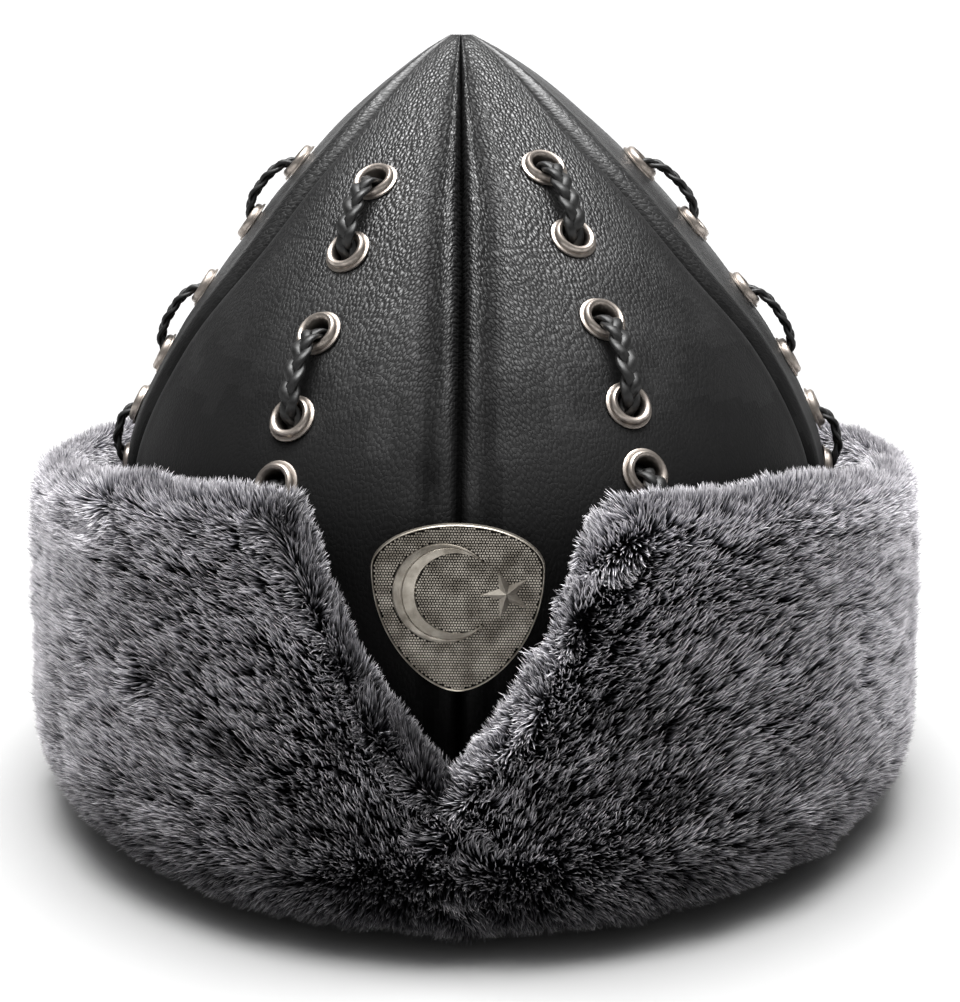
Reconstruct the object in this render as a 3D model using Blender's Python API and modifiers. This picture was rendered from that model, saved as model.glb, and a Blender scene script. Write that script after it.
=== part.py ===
"""A pointed six-gore leather hat with laced gores, a turned-up fur cuff and a badge in front.

The hat stands on the fold of its cuff at z = 0, with its front towards -Y. Lengths are in metres,
angles in degrees. An angle round the hat is the parameter of the head oval, from the front towards +X.
"""

import math
from collections import namedtuple

import bmesh
import bpy
from mathutils import Matrix, Vector

# The head oval at the lower edge of the crown, for a head of about 58 cm
HEAD_HALF_WIDTH = 0.0880
DEPTH_GAIN = 0.16

# Crown
CROWN_BOTTOM = 0.0100
CROWN_TOP = 0.1870
LEATHER = 0.0018
PIECE_GAP = 0.0004
GORE_ROWS = (CROWN_BOTTOM, 0.0450, 0.0720, 0.0920, 0.1110, 0.1300, 0.1480, 0.1640, 0.1780, CROWN_TOP)
GORE_COLUMNS = (0.0, 0.025, 0.075, 0.35, 0.65, 0.925, 0.975, 1.0)

# The crown's half width, the two seams that move with height, and how far the tip leans to one side
CrownSection = namedtuple("CrownSection", "height half_width side_seam back_seam lean")
CROWN_SECTIONS = (
    CrownSection(height=CROWN_BOTTOM, half_width=0.0880, side_seam=66.0, back_seam=120.0, lean=0.0),
    CrownSection(height=0.0700, half_width=0.0890, side_seam=66.0, back_seam=120.0, lean=0.0),
    CrownSection(height=0.0920, half_width=0.0865, side_seam=66.0, back_seam=120.0, lean=0.0),
    CrownSection(height=0.1150, half_width=0.0745, side_seam=65.0, back_seam=120.0, lean=-0.0003),
    CrownSection(height=0.1350, half_width=0.0600, side_seam=58.0, back_seam=121.0, lean=-0.0008),
    CrownSection(height=0.1520, half_width=0.0459, side_seam=53.0, back_seam=122.0, lean=-0.0015),
    CrownSection(height=0.1660, half_width=0.0318, side_seam=48.0, back_seam=122.0, lean=-0.0023),
    CrownSection(height=0.1760, half_width=0.0198, side_seam=48.0, back_seam=121.0, lean=-0.0029),
    CrownSection(height=0.1830, half_width=0.0098, side_seam=52.0, back_seam=120.0, lean=-0.0034),
    CrownSection(height=CROWN_TOP, half_width=0.0028, side_seam=56.0, back_seam=120.0, lean=-0.0037),
)

# How a gore's edge lies at a seam: how far it sinks at the stitching, and the soft ridge beside it
EdgeStyle = namedtuple("EdgeStyle", "sink ridge")
FOLDED_IN = EdgeStyle(sink=0.0022, ridge=0.0008)
LAPPED_OVER = EdgeStyle(sink=0.0003, ridge=0.0004)
LAPPED_UNDER = EdgeStyle(sink=0.0014, ridge=0.0)
GROOVE_WIDTH = 0.0026
RIDGE_DISTANCE = 0.0062
RIDGE_WIDTH = 0.0034
RELIEF_FULL_WIDTH = 0.0300

# Seams are numbered from the front: 0 front, 1 side, 2 back side, 3 centre back, negative towards -X
Gore = namedtuple("Gore", "name first_seam last_seam first_edge last_edge lace_angle lace_lift")
GORES = (
    Gore("front_left", -1, 0, LAPPED_OVER, FOLDED_IN, -27.5, -0.0015),
    Gore("front_right", 0, 1, FOLDED_IN, LAPPED_OVER, 27.5, 0.0015),
    Gore("side_right", 1, 2, LAPPED_UNDER, LAPPED_UNDER, 86.0, 0.0),
    Gore("back_right", 2, 3, LAPPED_OVER, FOLDED_IN, 150.0, 0.0),
    Gore("back_left", -3, -2, FOLDED_IN, LAPPED_OVER, -150.0, 0.0),
    Gore("side_left", -2, -1, LAPPED_UNDER, LAPPED_UNDER, -86.0, 0.0),
)

# Eyelets, in a row down the middle of each gore
EYELET_HEIGHTS = (0.1560, 0.1415, 0.1252, 0.1085, 0.0955, 0.0805)
EYELET_RADIUS = 0.0055
EYELET_HOLE = 0.0030
EYELET_BARREL = 0.0035
EYELET_RISE = 0.0014
EYELET_COLLAR = 0.0005
EYELET_BELOW = 0.0008
EYELET_SIDES = 9
LEATHER_HOLE = 0.0039
HOLE_SIDES = 8
CUTTER_REACH = 0.0060

# Laces: a round outline of the braid, arched over the leather from eyelet to eyelet
LACE_RADIUS = 0.0018
LACE_OUT = 0.0029
LACE_IN = 0.0042
LACE_ARCH_OUT = 0.0011
LACE_ARCH_IN = 0.0022
LACE_TAIL = 0.0065
LACE_STEPS = (0.16, 0.5, 0.84)

# Fur cuff: offsets are measured outwards from the head oval
CUFF_OUTER = 0.0266
CUFF_LEAN_IN = 0.0009
CUFF_FOLD_WIDTH = 0.0216
CUFF_FOLD_HEIGHT = 0.0250
CUFF_FLAT = (-0.0015, 0.0070)
CUFF_INNER_LIP = -0.0035
CUFF_INNER_EDGE = 0.0030
CUFF_LEDGE = CROWN_BOTTOM - PIECE_GAP
CUFF_SNUG = 0.0017
CUFF_LOOSE = 0.0082
NOTCH_OPENS = (0.055, 0.075)
CUFF_LOOSE_FROM = 0.0740
CUFF_SNUG_BELOW = 0.0600
CUFF_SNUG_DROP = 0.0200
CUFF_LOOSE_DROP = 0.0135
CUFF_FOLD_ANGLES = (-52.0, -24.0, 0.0)
LIP_SHOULDER = 0.0100
LIP_DROP = 0.0031
LIP_OUTSIDE = 0.0030
LIP_INSIDE = 0.0022
LIP_CREST = 0.45
CUFF_STEP = 8.0

# The cuff's top edge: its height round the back and sides, the same on both sides
RimPoint = namedtuple("RimPoint", "angle rim")
RIM = (
    RimPoint(16.0, 0.0968),
    RimPoint(41.0, 0.0978),
    RimPoint(55.0, 0.0940),
    RimPoint(75.0, 0.0885),
    RimPoint(100.0, 0.0850),
    RimPoint(140.0, 0.0790),
    RimPoint(180.0, 0.0760),
)

# The V-shaped split: the rim's height across the front
NOTCH = (
    RimPoint(-21.0, 0.0968),
    RimPoint(-17.3, 0.0905),
    RimPoint(-13.6, 0.0845),
    RimPoint(-11.1, 0.0745),
    RimPoint(-8.2, 0.0620),
    RimPoint(-3.9, 0.0540),
    RimPoint(0.5, 0.0465),
    RimPoint(5.0, 0.0560),
    RimPoint(7.9, 0.0630),
    RimPoint(10.0, 0.0715),
    RimPoint(11.8, 0.0825),
    RimPoint(13.8, 0.0920),
    RimPoint(16.5, 0.0966),
)

# Locks of the fur: how far their tips stand out, in turn, how far they lean down with the nap, and on
# which faces of the cuff's outline they grow
LOCK_LENGTHS = (0.0022, 0.0036, 0.0028)
LOCK_ROOT = -0.0014
LOCK_LEAN = 0.0030
LOCK_ROWS = (0.25, 0.5, 0.75, 1.0)
FUR_FACES = range(2, 12)

# Badge
BADGE_HEIGHT = 0.0735
BADGE_HALF_WIDTH = 0.0180
BADGE_UP = 0.0168
BADGE_DOWN = 0.0190
BADGE_SHOULDER = 0.0074
BADGE_SIDE_PULL = (0.45, 0.75)
BADGE_END_PULL = (0.36, 0.55)
BADGE_PLATE = 0.0018
BADGE_LIFT = 0.0014
BADGE_RIM = 0.0012
BADGE_RIM_RISE = 0.0005
BADGE_ARC_STEPS = 5
POCKET_REACH = 0.0020
EMBLEM_RISE = 0.0009
EMBLEM_SINK = 0.0005
CRESCENT_CENTRE = (-0.0030, 0.0022)
CRESCENT_RADIUS = 0.0107
CRESCENT_BITE = 0.0085
CRESCENT_SHIFT = 0.0028
CRESCENT_STEPS = 14
STAR_CENTRE = (0.0101, 0.0022)
STAR_RADIUS = 0.0052
STAR_WAIST = 0.0021
STAR_TIPS = 5
PIN_RADIUS = 0.0010
PIN_HOLE = 0.0016
PIN_DISC = 0.0050
PIN_DISC_DEPTH = 0.0046
PIN_DISC_THICK = 0.0012
PIN_SIDES = 12


def clear_scene():
    for item in list(bpy.data.objects):
        bpy.data.objects.remove(item)


def new_collection(name):
    collection = bpy.data.collections.new(name)
    bpy.context.scene.collection.children.link(collection)
    return collection


def make_material(name, colour, roughness, metallic=0.0):
    material = bpy.data.materials.new(name)
    material.use_nodes = True
    shader = material.node_tree.nodes["Principled BSDF"]
    shader.inputs["Base Color"].default_value = (*colour, 1.0)
    shader.inputs["Roughness"].default_value = roughness
    shader.inputs["Metallic"].default_value = metallic
    return material


def crown_value(height, column):
    """One column of the crown's table at any height, on a smooth curve through its rows."""
    rows = CROWN_SECTIONS
    last = len(rows) - 2
    index = sum(1 for row in rows[1:-1] if height > row.height)
    index = min(index, last)

    def slope(at):
        low = rows[max(at - 1, 0)]
        high = rows[min(at + 1, last + 1)]
        return (getattr(high, column) - getattr(low, column)) / (high.height - low.height)

    below = rows[index]
    above = rows[index + 1]
    span = above.height - below.height
    t = (height - below.height) / span
    start = getattr(below, column)
    end = getattr(above, column)
    return (
        (1 + 2 * t) * (1 - t) ** 2 * start
        + t * t * (3 - 2 * t) * end
        + t * (1 - t) ** 2 * span * slope(index)
        + t * t * (t - 1) * span * slope(index + 1)
    )


def seam_angle(seam, height):
    side = {0: 0.0, 1: crown_value(height, "side_seam"), 2: crown_value(height, "back_seam"), 3: 180.0}
    return math.copysign(side[abs(seam)], seam)


def crown_base(angle, height):
    """A point on the crown without its seams, folds and thickness."""
    half_width = crown_value(height, "half_width")
    half_depth = half_width * (1 + DEPTH_GAIN * half_width / HEAD_HALF_WIDTH)
    turn = math.radians(angle)
    x = half_width * math.sin(turn) + crown_value(height, "lean")
    return Vector((x, -half_depth * math.cos(turn), height))


def crown_frame(angle, height, rise):
    """Axes on the crown at a point: X round the hat, Y up the crown and Z straight out of it."""
    step = 0.0005
    across = crown_base(angle + 0.5, height) - crown_base(angle - 0.5, height)
    up = crown_base(angle, height + step) - crown_base(angle, height - step)
    out = across.cross(up).normalized()
    across = up.cross(out).normalized()
    up = out.cross(across)
    place = crown_base(angle, height) + out * rise
    frame = Matrix((across, up, out)).transposed().to_4x4()
    frame.translation = place
    return frame


def edge_relief(distance, style, fade):
    groove = style.sink * math.exp(-((distance / GROOVE_WIDTH) ** 2))
    ridge = style.ridge * math.exp(-(((distance - RIDGE_DISTANCE) / RIDGE_WIDTH) ** 2))
    return fade * (ridge - groove)


def gore_point(gore, across, height):
    """A point on the outside of a gore, from its first seam at 0 to its last seam at 1.

    The relief at the seams fades where the gore is narrow, towards the tip.
    """
    first = seam_angle(gore.first_seam, height)
    last = seam_angle(gore.last_seam, height)
    middle = 0.5 * (first + last)
    per_degree = (crown_base(middle + 0.5, height) - crown_base(middle - 0.5, height)).length
    width = per_degree * (last - first)
    gap = 0.5 * PIECE_GAP / per_degree
    angle = first + gap + across * (last - first - 2 * gap)
    fade = min(1.0, width / RELIEF_FULL_WIDTH)
    rise = edge_relief(across * width, gore.first_edge, fade)
    rise += edge_relief((1 - across) * width, gore.last_edge, fade)
    return crown_frame(angle, height, rise).translation


def link_mesh(name, bm, collection, material=None):
    mesh = bpy.data.meshes.new(name)
    bm.to_mesh(mesh)
    bm.free()
    item = bpy.data.objects.new(name, mesh)
    collection.objects.link(item)
    if material:
        mesh.materials.append(material)
    return item


def add_cylinder(bm, radius, low, high, sides, frame):
    matrix = frame @ Matrix.Translation((0, 0, 0.5 * (low + high)))
    bmesh.ops.create_cone(
        bm, cap_ends=True, segments=sides, radius1=radius, radius2=radius, depth=high - low, matrix=matrix
    )


def as_cutter(item):
    item.hide_render = True
    item.display_type = "WIRE"
    return item


def eyelet_frame(gore, height, rise=0.0):
    return crown_frame(gore.lace_angle, height + gore.lace_lift, rise)


def add_holes(gore, cutters):
    """The cutter for a gore: one round hole for each eyelet, and the badge's pin hole in front."""
    bm = bmesh.new()
    for height in EYELET_HEIGHTS:
        add_cylinder(bm, LEATHER_HOLE, -CUTTER_REACH, CUTTER_REACH, HOLE_SIDES, eyelet_frame(gore, height))
    if 0 in (gore.first_seam, gore.last_seam):
        frame = crown_frame(0.0, BADGE_HEIGHT, 0.0)
        add_cylinder(bm, PIN_HOLE, -CUTTER_REACH - PIN_DISC_DEPTH, CUTTER_REACH, HOLE_SIDES, frame)
    return as_cutter(link_mesh("cutter_" + gore.name, bm, cutters))


def make_gore(gore, parts, cutters, material):
    """An open curved sheet, thickened inwards, with its eyelet holes cut through."""
    bm = bmesh.new()
    rows = [
        [bm.verts.new(gore_point(gore, across, height)) for across in GORE_COLUMNS] for height in GORE_ROWS
    ]
    for lower, upper in zip(rows, rows[1:]):
        for k in range(len(GORE_COLUMNS) - 1):
            bm.faces.new((lower[k], lower[k + 1], upper[k + 1], upper[k]))
    item = link_mesh("gore_" + gore.name, bm, parts, material)
    shell = item.modifiers.new("thickness", "SOLIDIFY")
    shell.thickness = LEATHER
    shell.offset = -1.0
    holes = item.modifiers.new("holes", "BOOLEAN")
    holes.object = add_holes(gore, cutters)
    holes.operation = "DIFFERENCE"
    return item


def eyelet_mesh(material):
    """The section of an eyelet as a closed outline, which each eyelet turns round its own axis."""
    outline = (
        (EYELET_HOLE + EYELET_COLLAR, EYELET_RISE),
        (EYELET_RADIUS, 0.0),
        (EYELET_BARREL, 0.0),
        (EYELET_BARREL, -LEATHER - EYELET_BELOW),
        (EYELET_HOLE, -LEATHER - EYELET_BELOW),
    )
    mesh = bpy.data.meshes.new("eyelet_section")
    count = len(outline)
    mesh.from_pydata(
        [(radius, 0, height) for radius, height in outline], [(k, (k + 1) % count) for k in range(count)], []
    )
    mesh.materials.append(material)
    return mesh


def turn_round(item, sides):
    """Turn an outline in the item's XZ plane once round its Z axis."""
    turned = item.modifiers.new("turn", "SCREW")
    turned.axis = "Z"
    turned.angle = math.tau
    turned.steps = sides
    turned.render_steps = sides
    turned.use_merge_vertices = True
    turned.merge_threshold = 0.00001
    turned.use_smooth_shade = False
    return turned


def make_eyelets(gore, mesh, parts):
    for number, height in enumerate(EYELET_HEIGHTS, start=1):
        item = bpy.data.objects.new(f"eyelet_{gore.name}_{number}", mesh)
        parts.objects.link(item)
        item.matrix_world = eyelet_frame(gore, height, PIECE_GAP)
        turn_round(item, EYELET_SIDES)


def lace_points(gore):
    """The lace's middle line: in and out through the eyelets, with an arch on each side in turn."""
    points = [eyelet_frame(gore, EYELET_HEIGHTS[0], -LACE_TAIL).translation]
    outside = True
    for k, height in enumerate(EYELET_HEIGHTS):
        ends = (-LACE_IN, LACE_OUT) if outside else (LACE_OUT, -LACE_IN)
        if k == 0:
            ends = ends[1:]
        if k == len(EYELET_HEIGHTS) - 1:
            ends = ends[:1]
        points += [eyelet_frame(gore, height, rise).translation for rise in ends]
        if k < len(EYELET_HEIGHTS) - 1:
            for step in LACE_STEPS:
                swell = 1 - abs(2 * step - 1) ** 4
                rise = LACE_OUT + LACE_ARCH_OUT * swell if outside else -LACE_IN - LACE_ARCH_IN * swell
                between = height + (EYELET_HEIGHTS[k + 1] - height) * step
                points.append(eyelet_frame(gore, between, rise).translation)
        outside = not outside
    points.append(eyelet_frame(gore, EYELET_HEIGHTS[-1], -LACE_TAIL).translation)
    return points


def make_lace(gore, parts, material):
    curve = bpy.data.curves.new("lace_" + gore.name, "CURVE")
    curve.dimensions = "3D"
    curve.bevel_depth = LACE_RADIUS
    curve.bevel_resolution = 1
    curve.use_fill_caps = True
    points = lace_points(gore)
    spline = curve.splines.new("POLY")
    spline.points.add(len(points) - 1)
    for target, point in zip(spline.points, points):
        target.co = (*point, 1.0)
    curve.materials.append(material)
    item = bpy.data.objects.new("lace_" + gore.name, curve)
    parts.objects.link(item)
    return item


def rim_height(angle):
    """The height of the cuff's top edge, with the V-shaped split in front."""
    table = RIM
    at = min(angle % 360, -angle % 360)
    if NOTCH[0].angle <= angle <= NOTCH[-1].angle:
        table = NOTCH
        at = angle
    for low, high in zip(table, table[1:]):
        if at <= high.angle:
            break
    share = (at - low.angle) / (high.angle - low.angle)
    return low.rim + share * (high.rim - low.rim)


def cuff_angles():
    """Where the cuff's sections stand: at each point of the split, and evenly round the rest."""
    first = NOTCH[-1].angle
    last = NOTCH[0].angle + 360.0
    count = round((last - first) / CUFF_STEP)
    around = [first + (last - first) * k / count for k in range(1, count)]
    return [point.angle for point in NOTCH] + around


def blend(low, high, value):
    t = min(1.0, max(0.0, (value - low) / (high - low)))
    return t * t * (3 - 2 * t)


def crown_bulge(height):
    """How far the crown stands outside the head oval at a height, where it is deepest."""
    return (1 + 2 * DEPTH_GAIN) * (crown_value(height, "half_width") - HEAD_HALF_WIDTH)


def cuff_outer(height):
    """The fur's outer side leans in a little above its fold, by the same amount for each fold height."""
    return CUFF_OUTER - CUFF_LEAN_IN * max(0.0, height - CUFF_FOLD_HEIGHT) / CUFF_FOLD_HEIGHT


def cuff_section(angle):
    """The cuff's outline at one angle, as offsets from the head oval and heights.

    It runs from the inner lip under the fold, up the fur side, over the top edge and down the inside.
    """
    rim = rim_height(angle)
    fold_centre = CUFF_OUTER - CUFF_FOLD_WIDTH
    outline = [(CUFF_INNER_LIP, CUFF_INNER_EDGE), (CUFF_FLAT[0], 0.0), (CUFF_FLAT[1], 0.0)]
    for degrees in CUFF_FOLD_ANGLES:
        turn = math.radians(degrees)
        offset = fold_centre + CUFF_FOLD_WIDTH * math.cos(turn)
        outline.append((offset, CUFF_FOLD_HEIGHT * (1 + math.sin(turn))))
    shoulder = rim - LIP_SHOULDER
    for share in LOCK_ROWS:
        height = CUFF_FOLD_HEIGHT + share * (shoulder - CUFF_FOLD_HEIGHT)
        outline.append((cuff_outer(height), height))
    loose = CUFF_SNUG + (CUFF_LOOSE - CUFF_SNUG) * blend(*NOTCH_OPENS, rim)
    inner = loose + min(0.0, crown_bulge(rim))
    outline.append((cuff_outer(rim) - LIP_OUTSIDE, rim - LIP_DROP))
    outline.append((inner + LIP_CREST * (cuff_outer(rim) - inner), rim))
    outline.append((inner + LIP_INSIDE, rim - LIP_DROP))
    outline.append((loose + min(0.0, crown_bulge(shoulder)), shoulder))
    outline.append((loose, min(CUFF_LOOSE_FROM, rim - CUFF_LOOSE_DROP)))
    snug_top = min(CUFF_SNUG_BELOW, rim - CUFF_SNUG_DROP)
    outline.append((CUFF_SNUG + crown_bulge(snug_top), snug_top))
    outline.append((CUFF_SNUG, CUFF_LEDGE))
    outline.append((CUFF_INNER_LIP, CUFF_LEDGE))
    return outline


def oval_point(angle, offset, height):
    """A point at a distance outwards from the head oval."""
    turn = math.radians(angle)
    half_depth = HEAD_HALF_WIDTH * (1 + DEPTH_GAIN)
    out = Vector((half_depth * math.sin(turn), -HEAD_HALF_WIDTH * math.cos(turn), 0)).normalized()
    on_oval = Vector((HEAD_HALF_WIDTH * math.sin(turn), -half_depth * math.cos(turn), height))
    return on_oval + out * offset


def make_cuff(parts, material):
    """A closed ring through the sections, with each face of its fur side drawn out into a lock."""
    bm = bmesh.new()
    sections = []
    for angle in cuff_angles():
        outline = cuff_section(angle)
        ring = []
        for k, (offset, height) in enumerate(outline):
            root = LOCK_ROOT if k - 1 in FUR_FACES and k in FUR_FACES else 0.0
            ring.append(bm.verts.new(oval_point(angle, offset + root, height)))
        sections.append(ring)
    count = len(sections[0])
    locks = {}
    for s, ring in enumerate(sections):
        after = sections[(s + 1) % len(sections)]
        for k in range(count):
            following = (k + 1) % count
            face = bm.faces.new((ring[k], after[k], after[following], ring[following]))
            if k in FUR_FACES:
                locks[face] = LOCK_LENGTHS[(s + 2 * k) % len(LOCK_LENGTHS)]
    bm.normal_update()
    leans = {face: (face.normal.copy(), length) for face, length in locks.items()}
    for face, (normal, length) in leans.items():
        tip = bmesh.ops.poke(bm, faces=[face])["verts"][0]
        down = Vector((0, 0, -1)) + normal * normal.z
        tip.co += normal * length + down * LOCK_LEAN
        tip.co.z = max(tip.co.z, 0.0)
    return link_mesh("fur_cuff", bm, parts, material)


def badge_outline(inset):
    """The pick shape: a low arc on top and two long arcs that meet in a rounded point below.

    Each arc is a cubic curve between two of the four outermost points, and the pulls place its handles.
    """
    half = BADGE_HALF_WIDTH - inset
    up = BADGE_UP - inset
    down = BADGE_DOWN - inset
    side_low = -BADGE_SIDE_PULL[0] * down
    side_high = BADGE_SIDE_PULL[1] * up
    end_low = BADGE_END_PULL[0] * half
    end_high = BADGE_END_PULL[1] * half
    arcs = (
        ((half, BADGE_SHOULDER), (half, side_low), (end_low, -down), (0, -down)),
        ((0, -down), (-end_low, -down), (-half, side_low), (-half, BADGE_SHOULDER)),
        ((-half, BADGE_SHOULDER), (-half, side_high), (-end_high, up), (0, up)),
        ((0, up), (end_high, up), (half, side_high), (half, BADGE_SHOULDER)),
    )
    points = []
    for arc in arcs:
        for k in range(BADGE_ARC_STEPS):
            t = k / BADGE_ARC_STEPS
            weights = ((1 - t) ** 3, 3 * t * (1 - t) ** 2, 3 * t * t * (1 - t), t**3)
            points.append(tuple(sum(w * p[axis] for w, p in zip(weights, arc)) for axis in (0, 1)))
    return points


def crescent_outline():
    """Two arcs: the round back of the moon, and the bite whose centre is shifted towards the star."""
    reach = (CRESCENT_RADIUS**2 - CRESCENT_BITE**2 + CRESCENT_SHIFT**2) / (2 * CRESCENT_SHIFT)
    outer_turn = math.acos(reach / CRESCENT_RADIUS)
    inner_turn = math.acos((reach - CRESCENT_SHIFT) / CRESCENT_BITE)
    points = []
    for k in range(CRESCENT_STEPS + 1):
        turn = outer_turn + (math.tau - 2 * outer_turn) * k / CRESCENT_STEPS
        points.append((CRESCENT_RADIUS * math.cos(turn), CRESCENT_RADIUS * math.sin(turn)))
    for k in range(1, CRESCENT_STEPS):
        turn = math.tau - inner_turn - (math.tau - 2 * inner_turn) * k / CRESCENT_STEPS
        points.append((CRESCENT_SHIFT + CRESCENT_BITE * math.cos(turn), CRESCENT_BITE * math.sin(turn)))
    return [(x + CRESCENT_CENTRE[0], y + CRESCENT_CENTRE[1]) for x, y in points]


def star_outline():
    """Five tips, with one of them towards the moon."""
    points = []
    for k in range(2 * STAR_TIPS):
        radius = STAR_WAIST if k % 2 else STAR_RADIUS
        turn = math.pi + math.pi * k / STAR_TIPS
        points.append((STAR_CENTRE[0] + radius * math.cos(turn), STAR_CENTRE[1] + radius * math.sin(turn)))
    return points


def extruded(outline, low, high, frame):
    """A flat plate of any outline, from one height to another, as a bmesh."""
    bm = bmesh.new()
    face = bm.faces.new([bm.verts.new((x, y, low)) for x, y in outline])
    raised = bmesh.ops.extrude_face_region(bm, geom=[face])["geom"]
    top = [part for part in raised if isinstance(part, bmesh.types.BMVert)]
    bmesh.ops.translate(bm, verts=top, vec=(0, 0, high - low))
    bmesh.ops.recalc_face_normals(bm, faces=bm.faces)
    bmesh.ops.transform(bm, matrix=frame, verts=bm.verts)
    return bm


def add_boolean(item, other, operation):
    step = item.modifiers.new(operation.lower(), "BOOLEAN")
    step.object = other
    step.operation = operation


def make_badge(parts, cutters, material):
    """The cast plate with its ground cut down inside the rim, and the moon and star raised on it."""
    frame = crown_frame(0.0, BADGE_HEIGHT, BADGE_LIFT)
    ground = BADGE_PLATE - BADGE_RIM_RISE
    badge = link_mesh("badge", extruded(badge_outline(0.0), 0.0, BADGE_PLATE, frame), parts, material)
    pocket = extruded(badge_outline(BADGE_RIM), ground, BADGE_PLATE + POCKET_REACH, frame)
    moon = extruded(crescent_outline(), ground - EMBLEM_SINK, ground + EMBLEM_RISE, frame)
    star = extruded(star_outline(), ground - EMBLEM_SINK, ground + EMBLEM_RISE, frame)
    add_boolean(badge, as_cutter(link_mesh("cutter_pocket", pocket, cutters)), "DIFFERENCE")
    add_boolean(badge, as_cutter(link_mesh("guide_moon", moon, cutters)), "UNION")
    add_boolean(badge, as_cutter(link_mesh("guide_star", star, cutters)), "UNION")
    return badge


def make_badge_pin(parts, material):
    """A plain post behind the badge, through the front seam, with a disc inside the crown."""
    outline = (
        (0.0, BADGE_LIFT - PIECE_GAP),
        (PIN_RADIUS, BADGE_LIFT - PIECE_GAP),
        (PIN_RADIUS, -PIN_DISC_DEPTH),
        (PIN_DISC, -PIN_DISC_DEPTH),
        (PIN_DISC, -PIN_DISC_DEPTH - PIN_DISC_THICK),
        (0.0, -PIN_DISC_DEPTH - PIN_DISC_THICK),
    )
    mesh = bpy.data.meshes.new("badge_pin")
    edges = [(k, k + 1) for k in range(len(outline) - 1)]
    mesh.from_pydata([(radius, 0, height) for radius, height in outline], edges, [])
    mesh.materials.append(material)
    item = bpy.data.objects.new("badge_pin", mesh)
    parts.objects.link(item)
    item.matrix_world = crown_frame(0.0, BADGE_HEIGHT, 0.0)
    turn_round(item, PIN_SIDES)
    return item


def main():
    clear_scene()
    parts = new_collection("bork_hat")
    cutters = new_collection("cutters")
    leather = make_material("black_leather", (0.012, 0.012, 0.013), 0.50)
    nickel = make_material("nickel", (0.62, 0.58, 0.53), 0.28, metallic=1.0)
    lace = make_material("braided_lace", (0.008, 0.008, 0.009), 0.35)
    fur = make_material("grey_fur", (0.17, 0.18, 0.20), 0.90)
    silver = make_material("antique_silver", (0.34, 0.32, 0.29), 0.42, metallic=1.0)
    section = eyelet_mesh(nickel)
    for gore in GORES:
        make_gore(gore, parts, cutters, leather)
        make_eyelets(gore, section, parts)
        make_lace(gore, parts, lace)
    make_cuff(parts, fur)
    make_badge(parts, cutters, silver)
    make_badge_pin(parts, silver)


main()
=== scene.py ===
"""The looks of a pointed leather hat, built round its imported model.

Six pebbled leather gores, nickel eyelets, braided laces, a cuff of frosted fur and a cast badge each
take the place of their plain solids. Lengths are in metres, angles in degrees. An angle round the hat
is the parameter of the head oval, from the front (-Y) towards +X.
"""

import math
from collections import namedtuple

import bmesh
import bpy
import numpy as np
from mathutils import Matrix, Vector


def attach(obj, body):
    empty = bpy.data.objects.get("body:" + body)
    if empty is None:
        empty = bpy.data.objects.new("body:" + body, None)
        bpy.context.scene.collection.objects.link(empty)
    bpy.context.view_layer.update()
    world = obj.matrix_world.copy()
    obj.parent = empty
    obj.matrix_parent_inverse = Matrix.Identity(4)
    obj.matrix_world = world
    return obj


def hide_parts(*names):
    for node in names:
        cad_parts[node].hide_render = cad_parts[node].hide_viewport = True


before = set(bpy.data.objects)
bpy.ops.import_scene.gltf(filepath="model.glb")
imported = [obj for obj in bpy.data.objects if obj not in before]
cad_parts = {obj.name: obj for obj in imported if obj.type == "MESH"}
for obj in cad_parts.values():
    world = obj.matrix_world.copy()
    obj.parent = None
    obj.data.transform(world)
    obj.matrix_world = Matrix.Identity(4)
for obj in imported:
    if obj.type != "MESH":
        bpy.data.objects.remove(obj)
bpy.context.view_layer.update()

MM = 0.001
# UV maps: for the bake, the place on the leather in millimetres, and its grain's strength with its painted
# light and shade
BAKE_UV = "OFBake"
GRAIN_UV = "grain"
GRAIN_AND_SHADE_UV = "grain_strength"
# Waves in a smooth random value, and how much longer they are than the swells it is asked for
RIPPLE_WAVES = 14
RIPPLE_STRETCH = (1.4, 3.0)
# Between these a shader's noise mostly lies
NOISE_SPAN = (0.3, 0.7)

# Camera, fitted to the photograph's perspective
CAMERA_AIM = Vector((0.0009, 0.0, 0.069))
CAMERA_DISTANCE = 0.500
CAMERA_ELEVATION = 14.0
CAMERA_TURN = 2.0
CAMERA_LENS = 71.96

# Light: a surround that is white at the horizon, dim above it and brightest overhead, as the share of
# its power by the height it is seen at, with a pale panel low at each side and a taller one behind: their
# power, the way at which they begin and are full, and the height at which they fade and end
SKY_POWER = 21.0
SKY = ((0.0, 0.048), (0.02, 0.048), (0.05, 0.004), (0.70, 0.010), (0.86, 0.040), (0.94, 0.25), (0.97, 1.0))
Panel = namedtuple("Panel", "power way height")
SIDE_PANELS = Panel(0.046, (0.60, 0.90), (0.04, 0.14))
BACK_PANEL = Panel(0.050, (0.72, 0.96), (0.35, 0.60))
# The pale floor: half its width, and its grey
FLOOR_REACH = 60.0
FLOOR_GREY = (0.42, 0.42, 0.42)

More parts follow.
